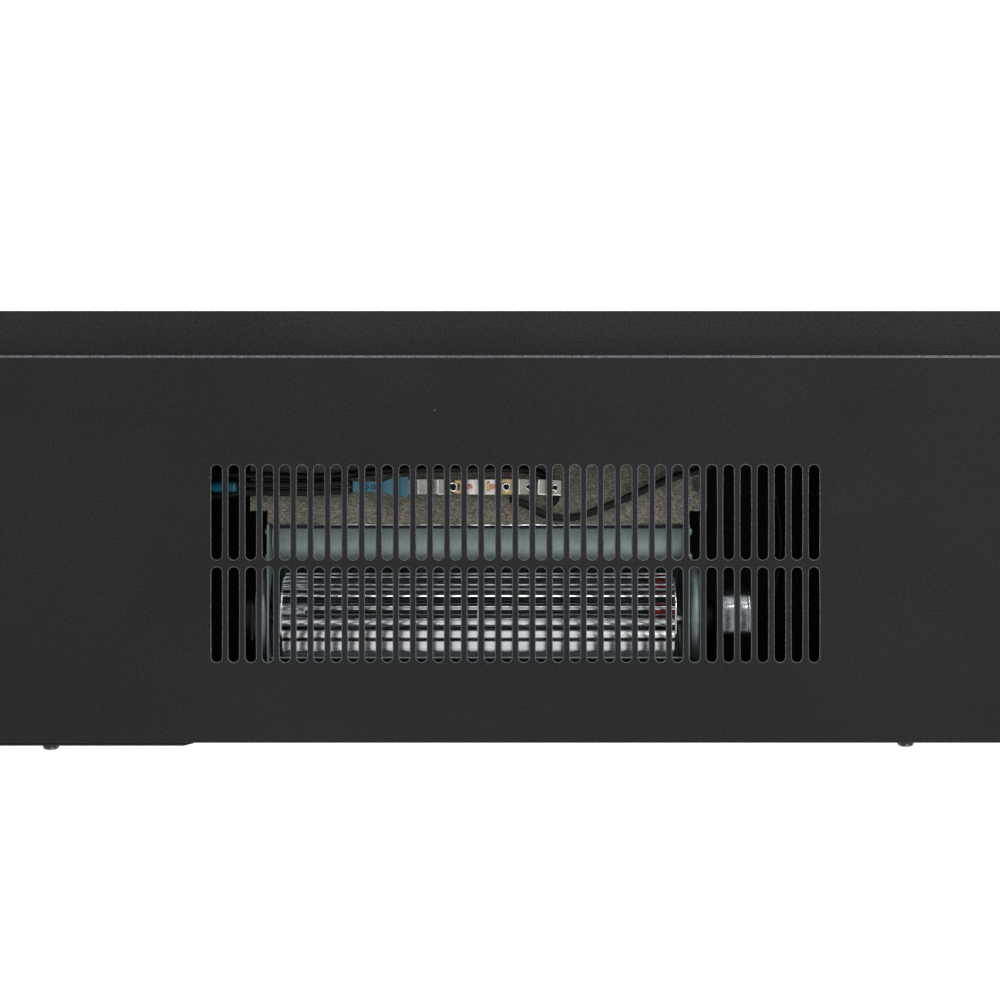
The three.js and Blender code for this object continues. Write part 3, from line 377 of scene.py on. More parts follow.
def flame_picture():
    """The smoked screen, with the soft tongues of light that the flicker rotor throws on it."""
    low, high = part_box("flame_screen")
    screen = Finish("flame_screen", (0.012, 0.011, 0.011), 0.3, IOR=1.49)
    height = Value(screen.tree, screen.add(
        "ShaderNodeSeparateXYZ", {"Vector": screen.place}
    ).socket.node.outputs["Z"])
    rise = screen.span(height, 0, 1, low.z + 45 * MM, high.z)
    drift = screen.noise(70 * MM, detail=2, vector=screen.stretched(1, 1, 0.5))
    pushed = screen.add(
        "ShaderNodeMix",
        {"Factor": 0.16, 4: screen.place, 5: drift},
        output=1,
        data_type="VECTOR",
    )
    narrow = screen.add("ShaderNodeMapping", {"Vector": pushed, "Scale": (1, 1, 0.28)})
    tongues = screen.noise(34 * MM, detail=3, roughness=0.55, vector=narrow)
    banks = screen.noise(150 * MM, detail=2, vector=screen.stretched(1, 0, 0))
    body = tongues * 1.15 + banks * 0.55 - rise * 1.05 - 0.44
    heat = body.math("MAXIMUM", body, 0.0)
    stops = (
        (0.0, (0, 0, 0)),
        (0.05, (0.12, 0.012, 0.001)),
        (0.2, (0.85, 0.16, 0.01)),
        (0.45, (1.0, 0.5, 0.08)),
    )
    screen.set("Emission Color", screen.ramp(heat, *stops))
    screen.set("Emission Strength", 2.2)
    smoke = screen.noise(40 * MM, detail=3)
    screen.set("Roughness", screen.span(smoke, 0.22, 0.4))
    return screen.material


def glowing_bed():
    """The diffuser under the media, lit amber from the board below."""
    bed = Finish("media_diffuser", (0.3, 0.26, 0.22), 0.5)
    patches = bed.noise(38 * MM, detail=3)
    glow = bed.ramp(patches, (0.35, (0.12, 0.02, 0.002)), (0.65, (0.95, 0.3, 0.04)))
    bed.set("Emission Color", glow)
    bed.set("Emission Strength", 0.9)
    bed.set("Normal", bed.bump(patches, 0.6 * MM))
    return bed.material


FINISHES = {
    "case_paint": powder_coat("graphite_powder_coat", (0.0065, 0.0065, 0.0074), 0.5),
    # Paler paint for the rounded rims: a painted highlight along the front bend and the slot rims.
    "rim_highlight_paint": powder_coat("painted_rim_highlight", (0.075, 0.082, 0.09), 0.36, 0.03 * MM),
    "frame_paint": powder_coat("black_powder_coat", (0.0105, 0.0105, 0.011), 0.42, 0.05 * MM),
    # Darker than the black frame paint: black paint inside, darkened further as painted shade for
    # the deep, unlit interior.
    "inside_paint_and_shade": powder_coat("inside_black_and_shade", (0.003, 0.003, 0.0032), 0.7),
    "galvanised": galvanised(),
    "bright_metal": rolled_aluminium(),
    "plated_steel": turned_metal("plated_steel", (0.27, 0.25, 0.225), (0.46, 0.44, 0.41), 0.22),
    "motor_can": turned_metal("drawn_steel", (0.25, 0.27, 0.28), (0.46, 0.49, 0.5), 0.18),
    "element": turned_metal("element_ribbon", (0.2, 0.17, 0.14), (0.5, 0.44, 0.38), 0.4),
    # Bright tin: the eyelets' own finish, and a painted highlight on the ribs and lips folded from
    # the duller plated tabs.
    "tinned_and_highlight": turned_metal("tinned_steel_and_highlight", (0.6, 0.58, 0.55), (0.85, 0.84, 0.82), 0.2),
    "copper": turned_metal("copper_rivet", (0.48, 0.2, 0.11), (0.8, 0.42, 0.27), 0.3),
    "brass": turned_metal("brass_terminal", (0.42, 0.3, 0.12), (0.78, 0.6, 0.3), 0.3),
    "mica": mica_board(),
    "blue_sleeve": moulded("blue_vinyl", (0.012, 0.11, 0.165), 0.22, Coat_Weight=0.4),
    "lead_black": moulded(
        "black_insulation", (0.004, 0.004, 0.0045), 0.5, Specular_IOR_Level=0.2
    ),
    "red_hub": moulded("red_silicone", (0.42, 0.014, 0.012), 0.4),
    # Near-black strip behind the cutoff hem: painted shade for the drop.
    "drop_shade_black": moulded("drop_shade_black", (0.003, 0.0035, 0.004), 0.8, 0.4 * MM, 0.1 * MM),
    "rubber": moulded("moulded_rubber", (0.014, 0.014, 0.015), 0.62, depth=0.05 * MM),
    "black_gloss": moulded("gloss_black", (0.009, 0.009, 0.011), 0.18, depth=0.004 * MM),
    "driver_case": moulded("driver_case", (0.02, 0.02, 0.021), 0.55, depth=0.06 * MM),
    "circuit": solder_resist(),
    "logs": driftwood(),
    "crystals": crushed_glass(),
    "diffuser": glowing_bed(),
    "glass": front_pane(),
    "screen": flame_picture(),
}


# ---------------------------------------------------------------- modelling helpers
def only(piece):
    """Makes the piece the one selected, active object."""
    if bpy.context.object and bpy.context.object.mode != "OBJECT":
        bpy.ops.object.mode_set(mode="OBJECT")
    bpy.ops.object.select_all(action="DESELECT")
    piece.select_set(True)
    bpy.context.view_layer.objects.active = piece
    return piece


def primitive(add, turn=(0, 0, 0), stretch=(1, 1, 1), at=(0, 0, 0), **sizes):
    """A primitive whose place, turn and scale are applied to its mesh."""
    bpy.ops.object.select_all(action="DESELECT")
    add(location=at, rotation=turn, **sizes)
    piece = bpy.context.active_object
    piece.scale = stretch
    bpy.ops.object.transform_apply(location=True, rotation=True, scale=True)
    return piece


def slab(low, high):
    size = [b - a for a, b in zip(low, high)]
    middle = [(a + b) / 2 for a, b in zip(low, high)]
    return primitive(bpy.ops.mesh.primitive_cube_add, stretch=size, at=middle, size=1)


def rod(radius, ends, y, z, sides=32):
    """A round bar along X."""
    return primitive(
        bpy.ops.mesh.primitive_cylinder_add,
        turn=(0, math.pi / 2, 0),
        at=((ends[0] + ends[1]) / 2, y, z),
        radius=radius,
        depth=ends[1] - ends[0],
        vertices=sides,
    )


def pick(piece, kind, test):
    """Goes into edit mode and selects the faces, edges or vertices whose middle passes the test."""
    only(piece)
    bpy.ops.object.mode_set(mode="EDIT")
    modes = {"verts": "VERT", "edges": "EDGE", "faces": "FACE"}
    bpy.ops.mesh.select_mode(type=modes[kind])
    bpy.ops.mesh.select_all(action="DESELECT")
    shape = bmesh.from_edit_mesh(piece.data)
    shape.select_mode = {modes[kind]}
    for element in getattr(shape, kind):
        if kind == "verts":
            chosen = test(element.co)
        elif kind == "edges":
            a, b = element.verts
            chosen = test((a.co + b.co) / 2, (b.co - a.co).normalized())
        else:
            chosen = test(element.calc_center_median(), element.normal)
        element.select_set(bool(chosen))
    shape.select_flush_mode()
    bmesh.update_edit_mesh(piece.data)


def done():
    bpy.ops.object.mode_set(mode="OBJECT")


def modify(piece, kind, **settings):
    only(piece)
    modifier = piece.modifiers.new(kind.title(), kind)
    for key, setting in settings.items():
        setattr(modifier, key, setting)
    bpy.ops.object.modifier_apply(modifier=modifier.name)
    return piece


def ease(piece, edge, segments=2):
    """Rounds the sharp edges and smooths what is curved."""
    modify(
        piece,
        "BEVEL",
        width=edge,
        segments=segments,
        limit_method="ANGLE",
        angle_limit=math.radians(35),
        use_clamp_overlap=True,
    )
    bpy.ops.object.shade_smooth_by_angle(angle=math.radians(32))
    return modify(piece, "WEIGHTED_NORMAL", keep_sharp=True)


def cut_away(piece, tool):
    modify(piece, "BOOLEAN", object=tool, operation="DIFFERENCE", solver="EXACT")
    bpy.data.objects.remove(tool)
    return piece


def eyelet(place, outer, bore):
    """A rolled eyelet lying flat, and a near-black disc that closes the sight through it: painted
    shade for the hollow of the bore.
    """
    ring = primitive(
        bpy.ops.mesh.primitive_torus_add,
        at=place,
        major_radius=(outer + bore) / 2,
        minor_radius=(outer - bore) / 2,
        major_segments=32,
        minor_segments=12,
    )
    bpy.ops.object.shade_smooth()
    return ring, domed(place, bore, 0.12 * MM)


def domed(place, radius, rise, turn=(0, 0, 0)):
    """A low domed head, such as a rivet's, centred on its place."""
    head = primitive(
        bpy.ops.mesh.primitive_cylinder_add,
        turn=turn,
        at=place,
        radius=radius,
        depth=2 * rise,
        vertices=24,
    )
    return ease(head, 0.85 * rise, 4)


def joined(pieces):
    only(pieces[0])
    for piece in pieces[1:]:
        piece.select_set(True)
    if len(pieces) > 1:
        bpy.ops.object.join()
    return bpy.context.active_object


def copy_at(piece, matrix):
    twin = bpy.data.objects.new(piece.name, piece.data.copy())
    scene.collection.objects.link(twin)
    twin.data.transform(matrix)
    return twin


def copy_of_node(node):
    """A merged copy of a CAD node's mesh, ready to be worked on."""
    mesh = frame["nodes"][node].data.copy()
    piece = bpy.data.objects.new("worked_" + node, mesh)
    scene.collection.objects.link(piece)
    pick(piece, "verts", lambda place: True)
    bpy.ops.mesh.remove_doubles(threshold=0.01 * MM)
    done()
    bpy.ops.mesh.customdata_custom_splitnormals_clear()
    return piece


def settle(piece, name, slot, body="case", stands_for=(), finish=None):
    """Names a finished piece, gives it its finish and says what it rides on and replaces."""
    piece.name = name
    piece.data.materials.clear()
    piece.data.materials.append(FINISHES[finish or slot])
    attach(piece, body)
    if stands_for:
        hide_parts(*stands_for)
    return piece


def body_of(node):
    return frame["nodes"][node]["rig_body"]


def slot_of(node):
    return next(
        part["material_slot"] for part in frame["record"]["subparts"] if part["node"] == node
    )


def eased_node(node, edge, finish=None, segments=2):
    """Replaces a CAD node with its own shape, its flats joined up and its edges rounded."""
    piece = copy_of_node(node)
    pick(piece, "faces", lambda middle, normal: True)
    bpy.ops.mesh.dissolve_limited(angle_limit=math.radians(0.5))
    done()
    ease(piece, edge, segments)
    return settle(piece, node + "_finished", slot_of(node), body_of(node), [node], finish)


# ---------------------------------------------------------------- case
# Faces whose normal rises by this much are the rounded rims; they take a paler paint, a painted
# highlight along the bend and the slot rims.
RIM_HIGHLIGHT_RISE = (0.15, 0.97)


def slot_cutters():
    """Every intake slot as one solid: a stadium, stepped along the rows and across them."""
    radius = SLOT_WIDTH / 2
    start = INTAKE_SHIFT - (SLOTS_PER_ROW - 1) * SLOT_PITCH / 2
    row = CASE_FRONT + SLOT_SETBACK + SLOT_LENGTH / 2
    cutter = primitive(
        bpy.ops.mesh.primitive_cylinder_add,
        at=(start, row, TOP),
        radius=radius,
        depth=4 * SHEET,
        vertices=20,
    )
    reach = SLOT_LENGTH / 2 - radius
    for side in (-1, 1):
        pick(cutter, "verts", lambda place: (place.y - row) * side > 0.1 * MM)
        bpy.ops.transform.translate(value=(0, side * reach, 0))
        done()
    for count, step in ((SLOTS_PER_ROW, (SLOT_PITCH, 0, 0)), (2, (0, SLOT_ROW_PITCH, 0))):
        modify(
            cutter,
            "ARRAY",
            count=count,
            use_relative_offset=False,
            use_constant_offset=True,
            constant_offset_displace=step,
        )
    return cutter


def top_sheet():
    """The top: a sheet bent down at the front, and pierced."""
    low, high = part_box("top_panel")
    sheet = slab((low.x, low.y, high.z - FLANGE), high)
    pick(sheet, "faces", lambda middle, normal: abs(normal.z) < 0.5 and normal.y > -0.5)
    bpy.ops.mesh.delete(type="FACE")
    done()
    pick(sheet, "faces", lambda middle, normal: normal.z < -0.5)
    bpy.ops.mesh.delete(type="FACE")
    done()
    pick(
        sheet,
        "edges",
        lambda middle, way: middle.z > high.z - 0.1 * MM and middle.y < low.y + 0.1 * MM,
    )
    bpy.ops.mesh.bevel(offset=BEND_RADIUS, segments=6, affect="EDGES")
    done()
    modify(sheet, "SOLIDIFY", thickness=SHEET, offset=-1)
    cut_away(sheet, slot_cutters())
    ease(sheet, SLOT_RIM, 2)
    settle(sheet, "top_sheet", "case_paint", stands_for=["top_panel"])
    # The rounded rims take the paler paint, a painted highlight along the bend and the slot rims.
    sheet.data.materials.append(FINISHES["rim_highlight_paint"])
    for face in sheet.data.polygons:
        face.material_index = int(RIM_HIGHLIGHT_RISE[0] < face.normal.z < RIM_HIGHLIGHT_RISE[1])
    return sheet


top_sheet()
for node in ("bottom_panel", "side_panel_left", "side_panel_right", "rear_panel"):
    eased_node(node, 0.25 * MM)
eased_node("wiring_cover", 0.2 * MM)


def screw(node):
    """A pan-head screw with a cross recess."""
    low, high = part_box(node)
    piece = copy_of_node(node)
    x, z = (low.x + high.x) / 2, (low.z + high.z) / 2
    for across, up in ((0.45, 2.1), (2.1, 0.45)):
        cut_away(piece, slab(
            (x - across * MM, high.y - 1.3 * MM, z - up * MM),
            (x + across * MM, high.y + 1 * MM, z + up * MM),
        ))
    ease(piece, 0.15 * MM)
    return settle(piece, node + "_finished", "black_gloss", stands_for=[node])


for node in ("rear_screw_left", "rear_screw_right"):
    screw(node)
for node in ("top_rail", "bottom_rail", "side_rail_left", "side_rail_right"):
    eased_node(node, 0.5 * MM, segments=3)
eased_node("front_glass", 0.4 * MM)
eased_node("outlet_louvre", 0.2 * MM)
for node in ("power_button", "flame_button", "heat_button", "timer_button"):
    eased_node(node, 0.2 * MM)
for node in ("rocker_body", "rocker_switch", "display_window", "control_board"):
    eased_node(node, 0.3 * MM)

# ---------------------------------------------------------------- blower and heater
BLADES = 20
BLADE_PHASE = math.radians(-2.5)
BLADE_DEPTH = 5.2 * MM
BLADE_LEAN = 3.4 * MM
BLADE_CAMBER = 0.9 * MM
BLADE_STEPS = 8
HEM_RADIUS = 0.4 * MM
HUB_RADIUS = 7 * MM
HUB_LENGTH = 9 * MM
SHAFT_RADIUS = 2.5 * MM


def impeller():
    """The wheel: thin leaning blades between three discs, with a hub and stub shaft at each end."""
    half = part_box("cutoff_plate")[1].x - 4.3 * MM
    outer = WHEEL_RADIUS - 0.4 * MM
    blade = slab(
        (-half, outer - BLADE_DEPTH, -0.15 * MM),
        (half, outer, 0.15 * MM),
    )
    pick(blade, "faces", lambda middle, normal: True)
    for step in range(1, BLADE_STEPS):
        bpy.ops.mesh.select_all(action="SELECT")
        cut = outer - BLADE_DEPTH * step / BLADE_STEPS
        bpy.ops.mesh.bisect(plane_co=(0, cut, 0), plane_no=(0, 1, 0))
    done()
    for vertex in blade.data.vertices:
        share = (outer - vertex.co.y) / BLADE_DEPTH
        vertex.co.z += BLADE_CAMBER * 4 * share * (1 - share) + share * BLADE_LEAN
    centre = Matrix.Translation((0, AXIS_Y, AXIS_Z))
    hem = rod(HEM_RADIUS, (-half, half), outer - HEM_RADIUS, 0, 10)
    blade = joined([blade, hem])
    turns = [
        Matrix.Rotation(BLADE_PHASE + 2 * math.pi * i / BLADES, 4, "X") for i in range(BLADES)
    ]
    blades = [copy_at(blade, centre @ turn) for turn in turns]
    bpy.data.objects.remove(blade)
    wheel = joined(blades)
    bpy.ops.object.shade_smooth_by_angle(angle=math.radians(32))
    rounds = []
    for x in (-half, 0, half):
        disc = rod(WHEEL_RADIUS, (x - 0.45 * MM, x + 0.45 * MM), AXIS_Y, AXIS_Z, 64)
        rounds.append(ease(disc, 0.3 * MM, 3))
    rounds.append(ease(rod(HUB_RADIUS, (half - HUB_LENGTH, half), AXIS_Y, AXIS_Z), 0.6 * MM))
    for span in ((half, wheel_high.x), (wheel_low.x, -half)):
        rounds.append(ease(rod(SHAFT_RADIUS, span, AXIS_Y, AXIS_Z, 24), 0.3 * MM))
    wheel = joined([wheel, *rounds])
    settle(wheel, "impeller", "bright_metal", "blower_wheel", ["impeller_wheel"])
    hub = ease(rod(HUB_RADIUS, (-half, HUB_LENGTH - half), AXIS_Y, AXIS_Z), 0.8 * MM, 3)
    return settle(hub, "impeller_drive_hub", "rubber", "blower_wheel", finish="red_hub")


impeller()

COLLAR_ROLL = 2.4 * MM
RIVET_SETBACKS = (3 * MM, 13.5 * MM)


def end_plate(node):
    """An end plate, its collar rolled outwards into a bellmouth, with two rivets by the sheet."""
    low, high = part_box(node)
    side = 1 if low.x > 0 else -1
    face = side * min(abs(low.x), abs(high.x))
    collar_radius = WHEEL_RADIUS + 1.6 * MM
    plate = copy_of_node(node)
    ease(plate, 0.15 * MM)
    roll = primitive(
        bpy.ops.mesh.primitive_torus_add,
        turn=(0, math.pi / 2, 0),
        at=(face + side * (0.9 * MM + COLLAR_ROLL), AXIS_Y, AXIS_Z),
        major_radius=collar_radius,
        minor_radius=COLLAR_ROLL,
        major_segments=96,
        minor_segments=20,
    )
    bpy.ops.object.shade_smooth()
    rivets = [
        domed(
            (face + side * 1.2 * MM, low.y + back, high.z - 15 * MM),
            1.6 * MM,
            1.1 * MM,
            turn=(0, math.pi / 2, 0),
        )
        for back in RIVET_SETBACKS
    ]
    plate = joined([plate, roll, *rivets])
    return settle(plate, node + "_finished", "galvanised", stands_for=[node])


for node in ("end_plate_left", "end_plate_right"):
    end_plate(node)
for node in ("cutoff_plate", "scroll_shell"):
    eased_node(node, 0.15 * MM)

SHADE_STRIP_WIDTH = 1.2 * MM


def duct_seam():
    """Where the sheet meets the duct: a rolled hem in bright aluminium, brighter than its
    galvanised sheet as a painted highlight, and a near-black strip filling its drop as painted
    shade.
    """
    low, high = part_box("cutoff_plate")
    board_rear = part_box("heater_top_board")[1].y
    hem_y = board_rear + HEM_RADIUS
    hem = rod(HEM_RADIUS, (low.x, high.x), hem_y, high.z + 0.3 * MM, 12)
    bpy.ops.object.shade_smooth()
    # The hem takes the bright aluminium rather than the sheet's zinc: a painted highlight along the
    # sheet's edge.
    settle(hem, "cutoff_hem_highlight", "bright_metal")
    # A near-black strip in the drop behind the hem: painted shade.
    shade_strip = slab(
        (low.x, hem_y + HEM_RADIUS, high.z - 2 * MM),
        (high.x, hem_y + HEM_RADIUS + SHADE_STRIP_WIDTH, high.z - 0.3 * MM),
    )
    return settle(ease(shade_strip, 0.3 * MM, 3), "duct_drop_shade", "rubber", finish="drop_shade_black")


duct_seam()
for node in ("bearing_bridge", "motor_bridge"):
    eased_node(node, 0.15 * MM)
for node in ("blower_bearing", "motor_mount"):
    eased_node(node, 0.8 * MM, segments=3)
MOTOR_RIM = 1.3 * MM
MOTOR_STEP = 0.5 * MM


def motor():
    """The motor can: a drum with a raised rim at each end."""
    low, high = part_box("blower_motor")
    radius = (high.z - low.z) / 2
    drum = ease(rod(radius - MOTOR_STEP, (low.x, high.x), AXIS_Y, AXIS_Z, 72), 0.6 * MM, 3)
    rims = [
        ease(rod(radius, (start, start + MOTOR_RIM), AXIS_Y, AXIS_Z, 72), 0.4 * MM, 3)
        for start in (low.x + 0.2 * MM, high.x - MOTOR_RIM - 0.2 * MM)
    ]
    can = joined([drum, *rims])
    return settle(
        can, "blower_motor_can", "plated_steel", stands_for=["blower_motor"], finish="motor_can"
    )


motor()
for node in (
    "heater_top_board",
    "heater_floor_board",
    "heater_side_board_left",
    "heater_side_board_right",
):
    eased_node(node, 0.12 * MM)
eased_node("heater_element", 0.1 * MM)
STRIP_THICKNESS = 0.8 * MM
EYELET_PROUD = 0.6 * MM
RIB_WIDTH = 0.9 * MM
RIB_RISE = 0.8 * MM


# Places along the thermostat, measured from its +X end
PLATES = (0, 7.6 * MM), (9.2 * MM, 17.4 * MM)
BRIGHT_PLATE = (24 * MM, 36.6 * MM)
BRASS_PLATE = (37.4 * MM, 43 * MM)
CONTACT_PLATE = (18.8 * MM, 22.6 * MM)
CONTACT_SLOT = (20 * MM, 20.9 * MM)
CONTACT_SLOT_HALF = 1.4 * MM
CONTACT_BAR = (32.1 * MM, 33.5 * MM)
RIBS = (3.2 * MM, 11.4 * MM, 27.2 * MM)
THIN_RIB = 7 * MM
THIN_RIB_WIDTH = 0.5 * MM
REAR_LIP = (11.4 * MM, 17.4 * MM)
RINGS = (18 * MM, 0.3 * MM, 2.2 * MM, 1.2 * MM), (40.2 * MM, 0.2 * MM, 2.0 * MM, 1.0 * MM)
RIVETS = (25 * MM, 34.4 * MM)
SMALL_RIVET = 32.8 * MM


def terminals():
    """The thermostat: overlapping plated and brass tabs, riveted and eyeleted in a row."""
    low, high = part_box("thermostat")
    middle = (low.y + high.y) / 2
    top = high.z - EYELET_PROUD

    def tab(start, end, trim=0.0, rise=0.0):
        return slab(
            (high.x - end, low.y + trim, top - STRIP_THICKNESS + rise),
            (high.x - start, high.y - trim, top + rise),
        )

    def rib(start, width=RIB_WIDTH):
        return slab(
            (high.x - start - width, low.y, top - STRIP_THICKNESS),
            (high.x - start, high.y, top + RIB_RISE),
        )

    plates = [tab(*ends) for ends in PLATES]
    rail = joined([ease(piece, 0.12 * MM) for piece in plates])
    settle(rail, "thermostat_tabs", "plated_steel", stands_for=["thermostat"])
    ribs = [rib(start) for start in RIBS]
    ribs.append(rib(THIN_RIB, THIN_RIB_WIDTH))
    ribs.append(slab(
        (high.x - REAR_LIP[1], high.y - THIN_RIB_WIDTH, top),
        (high.x - REAR_LIP[0], high.y, top + RIB_RISE),
    ))
    ribs.append(tab(*BRIGHT_PLATE))
    ribs = [ease(piece, 0.2 * MM, 3) for piece in ribs]
    rings = [
        eyelet((high.x - station, middle, top + rise), outer, bore)
        for station, rise, outer, bore in RINGS
    ]
    # The ribs and rear lip, folded from the plated tabs, take the brighter tin with the bright
    # plate and the eyelets: a painted highlight on the ribs and lip.
    bright = joined([*ribs, *(ring for ring, bore in rings)])
    settle(bright, "thermostat_ribs", "plated_steel", finish="tinned_and_highlight")
    # Near-black discs in the eyelet bores: painted shade.
    bore_shades = joined([bore for ring, bore in rings])
    settle(bore_shades, "thermostat_bore_shade", "black_gloss", finish="inside_paint_and_shade")
    contact = tab(*CONTACT_PLATE, trim=0.4 * MM, rise=0.1 * MM)
    cut_away(contact, slab(
        (high.x - CONTACT_SLOT[1], middle - CONTACT_SLOT_HALF, low.z),
        (high.x - CONTACT_SLOT[0], middle + CONTACT_SLOT_HALF, high.z + 1 * MM),
    ))
    bar = tab(*CONTACT_BAR, trim=1.2 * MM, rise=0.5 * MM)
    brass = [contact, bar, tab(*BRASS_PLATE)]
    brass = joined([ease(piece, 0.1 * MM) for piece in brass])
    settle(brass, "thermostat_contacts", "plated_steel", finish="brass")
    rivets = joined([
        *(domed((high.x - station, middle, top + 0.2 * MM), 1.2 * MM, 0.6 * MM)
          for station in RIVETS),
        domed((high.x - SMALL_RIVET, middle - 1.8 * MM, top + 0.7 * MM), 0.6 * MM, 0.4 * MM),
    ])
    return settle(rivets, "thermostat_rivets", "plated_steel", finish="copper")


TAG_TURN = math.radians(-3)
INNER_TAG = 7 * MM
OUTER_TAG = 8.2 * MM
FUSE_EYELETS = (4.6 * MM, 15.4 * MM)


def fuse():
    """The thermal fuse's two tags, the outer one turned a little and folded up at its rear edge."""
    low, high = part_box("thermal_fuse")
    middle = (low.y + high.y) / 2
    top = high.z - EYELET_PROUD
    under = top - STRIP_THICKNESS
    crest = top + RIB_RISE
    start = high.x - OUTER_TAG
    inner = [slab((high.x - INNER_TAG, low.y, under), (high.x, high.y, top))]
    outer = [slab((low.x, low.y, under), (start, high.y, top))]
    inner_lip = [slab((high.x - RIB_WIDTH, low.y, under), (high.x, high.y, crest))]
    outer_lips = [
        slab((start - RIB_WIDTH, low.y, under), (start, high.y, crest)),
        slab((low.x, high.y - 0.6 * MM, under), (start, high.y, crest)),
    ]
    rings = [
        eyelet((high.x - station, middle, top + 0.1 * MM), 1.6 * MM, 0.9 * MM)
        for station in FUSE_EYELETS
    ]
    for piece in (*inner, *outer):
        ease(piece, 0.12 * MM)
    for piece in (*inner_lip, *outer_lips):
        ease(piece, 0.2 * MM, 3)
    pivot = Vector((start, middle, top))
    turn = Matrix.Translation(pivot) @ Matrix.Rotation(TAG_TURN, 4, "Z")
    for piece in (*outer, *outer_lips, *rings[1]):
        piece.data.transform(turn @ Matrix.Translation(-pivot))
    tags = joined([*inner, *outer])
    settle(tags, "thermal_fuse_tags", "plated_steel", stands_for=["thermal_fuse"])
    # The lips, folded from the plated tags, take the brighter tin with the eyelets: a painted
    # highlight on the lips.
    lips = joined([*inner_lip, *outer_lips, rings[0][0], rings[1][0]])
    settle(lips, "thermal_fuse_lips", "plated_steel", finish="tinned_and_highlight")
    # Near-black discs in the eyelet bores: painted shade.
    bore_shades = joined([rings[0][1], rings[1][1]])
    return settle(bore_shades, "thermal_fuse_bore_shade", "black_gloss", finish="inside_paint_and_shade")


terminals()
fuse()

CRIMP_STATIONS = (5.5 * MM, 8.5 * MM)
CRIMP_RADIUS = 1.1 * MM


def push_on_connector():
    """A sleeved push-on connector, its barrel crimped twice, with the tab showing at its mouth."""
    low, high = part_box("lead_connector")
    middle = (low.y + high.y) / 2
    sleeve = copy_of_node("lead_connector")
    for station in CRIMP_STATIONS:
        cut_away(sleeve, primitive(
            bpy.ops.mesh.primitive_uv_sphere_add,
            at=(high.x - station, middle, high.z),
            radius=CRIMP_RADIUS,
            segments=16,
            ring_count=8,
        ))
    ease(sleeve, 0.8 * MM, 4)
    settle(sleeve, "connector_sleeve", "blue_sleeve", stands_for=["lead_connector"])
    tab = slab(
        (low.x - 0.6 * MM, middle - 3 * MM, low.z + 1.6 * MM),
        (low.x + 2 * MM, middle + 3 * MM, low.z + 2.6 * MM),
    )
    return settle(ease(tab, 0.15 * MM), "connector_tab", "plated_steel")


JOINT_START = 100 * MM
JOINT_LENGTH = 11 * MM
JOINT_RADIUS = 2.2 * MM
JOINT_DIP = math.radians(18)


def lead_joint():
    """A blue butt joint on a heater lead, where it drops towards the driver box."""
    low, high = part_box("thermostat")
    middle = (low.y + high.y) / 2
    height = low.z + 0.6 * MM
    sleeve = primitive(
        bpy.ops.mesh.primitive_cylinder_add,
        turn=(0, math.pi / 2 + JOINT_DIP, 0),
        at=(JOINT_START + JOINT_LENGTH / 2, middle, height),
        radius=JOINT_RADIUS,
        depth=JOINT_LENGTH,
        vertices=32,
    )
    ease(sleeve, 0.7 * MM, 4)
    return settle(sleeve, "lead_joint", "blue_sleeve")


push_on_connector()
lead_joint()
eased_node("driver_box", 1.5 * MM, segments=3)


LEAD_SHRINKAGE = 0.11 * MM


def smooth_lead(node):
    """A lead: its CAD route, rounded by subdivision, its thickness made up again."""
    piece = copy_of_node(node)
    modify(piece, "SUBSURF", levels=1, render_levels=1)
    for vertex in piece.data.vertices:
        vertex.co += vertex.normal * LEAD_SHRINKAGE
    bpy.ops.object.shade_smooth()
    return settle(piece, node + "_finished", "lead_black", stands_for=[node])


for node in ("lead_heater_near", "lead_heater_far", "lead_sensor", "lead_fan"):
    smooth_lead(node)

# ---------------------------------------------------------------- flame box
# The firebox inside takes the darkest paint: its black paint, with painted shade for the deep
# interior.
for node in ("firebox_roof", "firebox_side_left", "firebox_side_right", "ember_tray"):
    eased_node(node, 0.3 * MM, finish="inside_paint_and_shade")
eased_node("flame_screen", 0.3 * MM)
for node in ("ember_light_board", "flame_light_board"):
    eased_node(node, 0.15 * MM)
for node in ("flicker_rotor", "rotor_stand_left", "rotor_stand_right"):
    eased_node(node, 0.15 * MM)
eased_node("flicker_motor", 1.0 * MM, segments=3)

BED_CRYSTALS = 900
CRYSTAL_SIZES = (3.2 * MM, 7.5 * MM)


def media_bed():
    """A lit diffuser with crushed glass heaped over it."""
    low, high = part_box("ember_bed")
    pile = 8 * MM
    diffuser = slab(low, (high.x, high.y, high.z - pile))
    ease(diffuser, 1 * MM)
    settle(diffuser, "media_diffuser", "crystals", stands_for=["ember_bed"], finish="diffuser")
    draw = random.Random(4)
    shards = []
    for _ in range(12):
        shard = primitive(bpy.ops.mesh.primitive_ico_sphere_add, subdivisions=1, radius=1)
        for vertex in shard.data.vertices:
            vertex.co *= draw.uniform(0.62, 1.0)
        shards.append(shard)
    heap = bmesh.new()
    for i in range(BED_CRYSTALS):
        size = draw.uniform(*CRYSTAL_SIZES) / 2
        place = Vector((
            draw.uniform(low.x + size, high.x - size),
            draw.uniform(low.y + size, high.y - size),
            draw.uniform(high.z - pile, high.z - size),
        ))
        turn = Matrix.Rotation(draw.uniform(0, math.tau), 4, Vector((1, draw.random(), 0.5)))
        before = len(heap.verts)
        heap.from_mesh(shards[i % len(shards)].data)
        heap.verts.ensure_lookup_table()
        for vertex in heap.verts[before:]:
            vertex.co = place + (turn @ vertex.co) * size
    mesh = bpy.data.meshes.new("crushed_glass")
    heap.to_mesh(mesh)
    heap.free()
    for shard in shards:
        bpy.data.objects.remove(shard)
    crystals = bpy.data.objects.new("crushed_glass", mesh)
    scene.collection.objects.link(crystals)
    settle(crystals, "crushed_glass", "crystals")


media_bed()


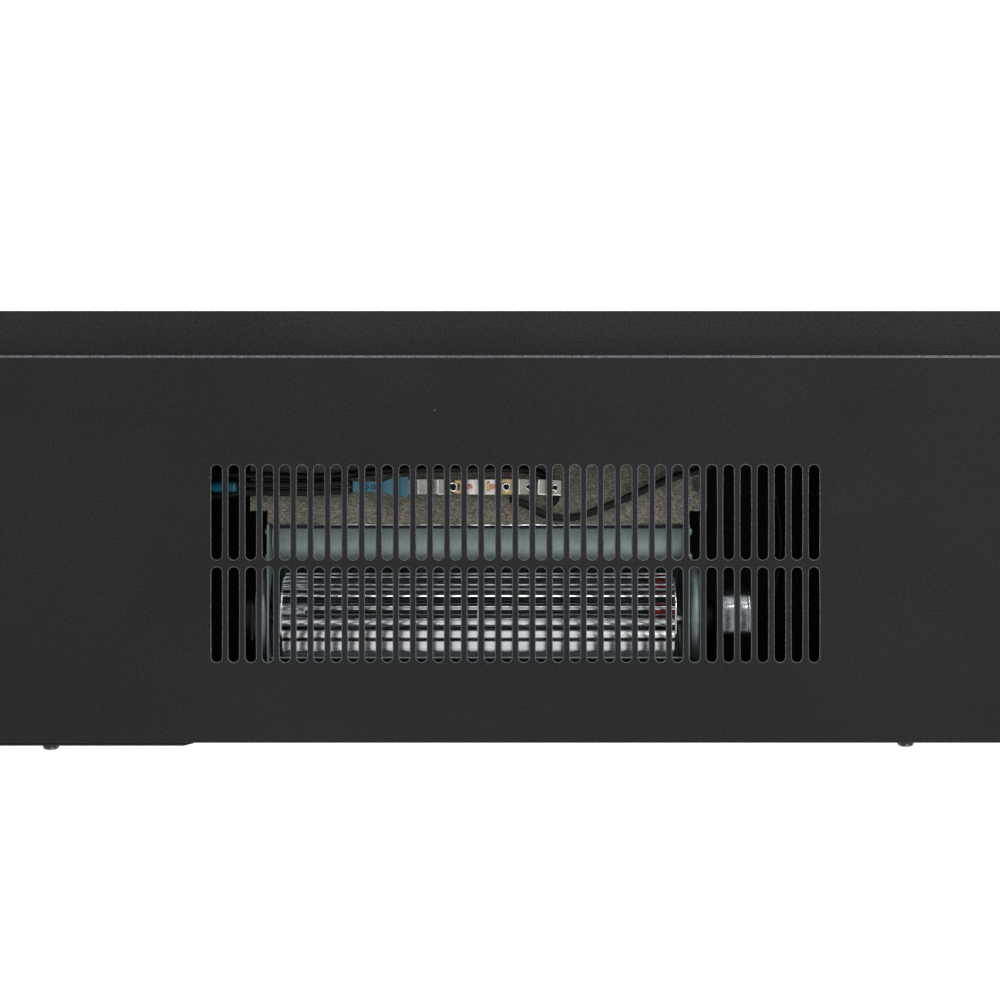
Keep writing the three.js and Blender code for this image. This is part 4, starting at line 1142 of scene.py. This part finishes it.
def weathered_log(node):
    """A log: its CAD round, subdivided and roughened into ridges, knots and a ragged skin."""
    piece = copy_of_node(node)
    modify(piece, "SUBSURF", levels=3, render_levels=3)
    low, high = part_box(node)
    seed = Vector((low.x * 31, 7, 3))
    for vertex in piece.data.vertices:
        place = vertex.co
        ridge = noise.noise(Vector((place.x * 14, place.y * 150, place.z * 150)) + seed)
        knot = noise.noise(place * 26 + seed)
        vertex.co += vertex.normal * (ridge * 1.8 + knot * 2.2 - 1.9) * MM
    only(piece)
    bpy.ops.object.shade_smooth()
    return settle(piece, node + "_finished", "logs", stands_for=[node])


for node in ("log_1", "log_2", "log_3"):
    weathered_log(node)


# ---------------------------------------------------------------- floor, light and camera
def plain_floor():
    floor = primitive(bpy.ops.mesh.primitive_plane_add, size=8)
    floor.name = "floor"
    plain = Finish("pale_floor", (0.86, 0.86, 0.86), 0.7, Emission_Color=(1, 1, 1, 1))
    plain.set("Emission Strength", 0.45)
    floor.data.materials.append(plain.material)


def soft_light(name, place, size, power, aim=(0, 0, 0.3)):
    light = bpy.data.lights.new(name, "AREA")
    light.shape = "SQUARE"
    light.size = size
    light.energy = power
    lamp = bpy.data.objects.new(name, light)
    scene.collection.objects.link(lamp)
    lamp.location = place
    lamp.rotation_euler = (Vector(aim) - Vector(place)).to_track_quat("-Z", "Y").to_euler()


plain_floor()
soft_light("key_softbox", (-1.3, -1.8, 2.1), 1.6, 55)
soft_light("rear_softbox", (-0.7, 2.3, 2.0), 1.8, 40)
soft_light("side_softbox", (2.4, -0.6, 1.5), 1.4, 14)

world = bpy.data.worlds.new("studio")
scene.world = world
world.use_nodes = True
backdrop = world.node_tree.nodes["Background"]
backdrop.inputs["Color"].default_value = (1, 1, 1, 1)
backdrop.inputs["Strength"].default_value = 0.8
scene.view_settings.view_transform = "Standard"

camera = bpy.data.cameras.new("camera")
camera.sensor_width = SENSOR
camera.lens = SENSOR * CAMERA_HEIGHT / FIELD_WIDTH
camera.clip_start = 10 * MM
viewpoint = bpy.data.objects.new("camera", camera)
scene.collection.objects.link(viewpoint)
viewpoint.location = (CAMERA_SHIFT_X, CASE_FRONT + CAMERA_SETBACK, TOP + CAMERA_HEIGHT)
viewpoint.rotation_euler = (0, 0, math.pi)
scene.camera = viewpoint
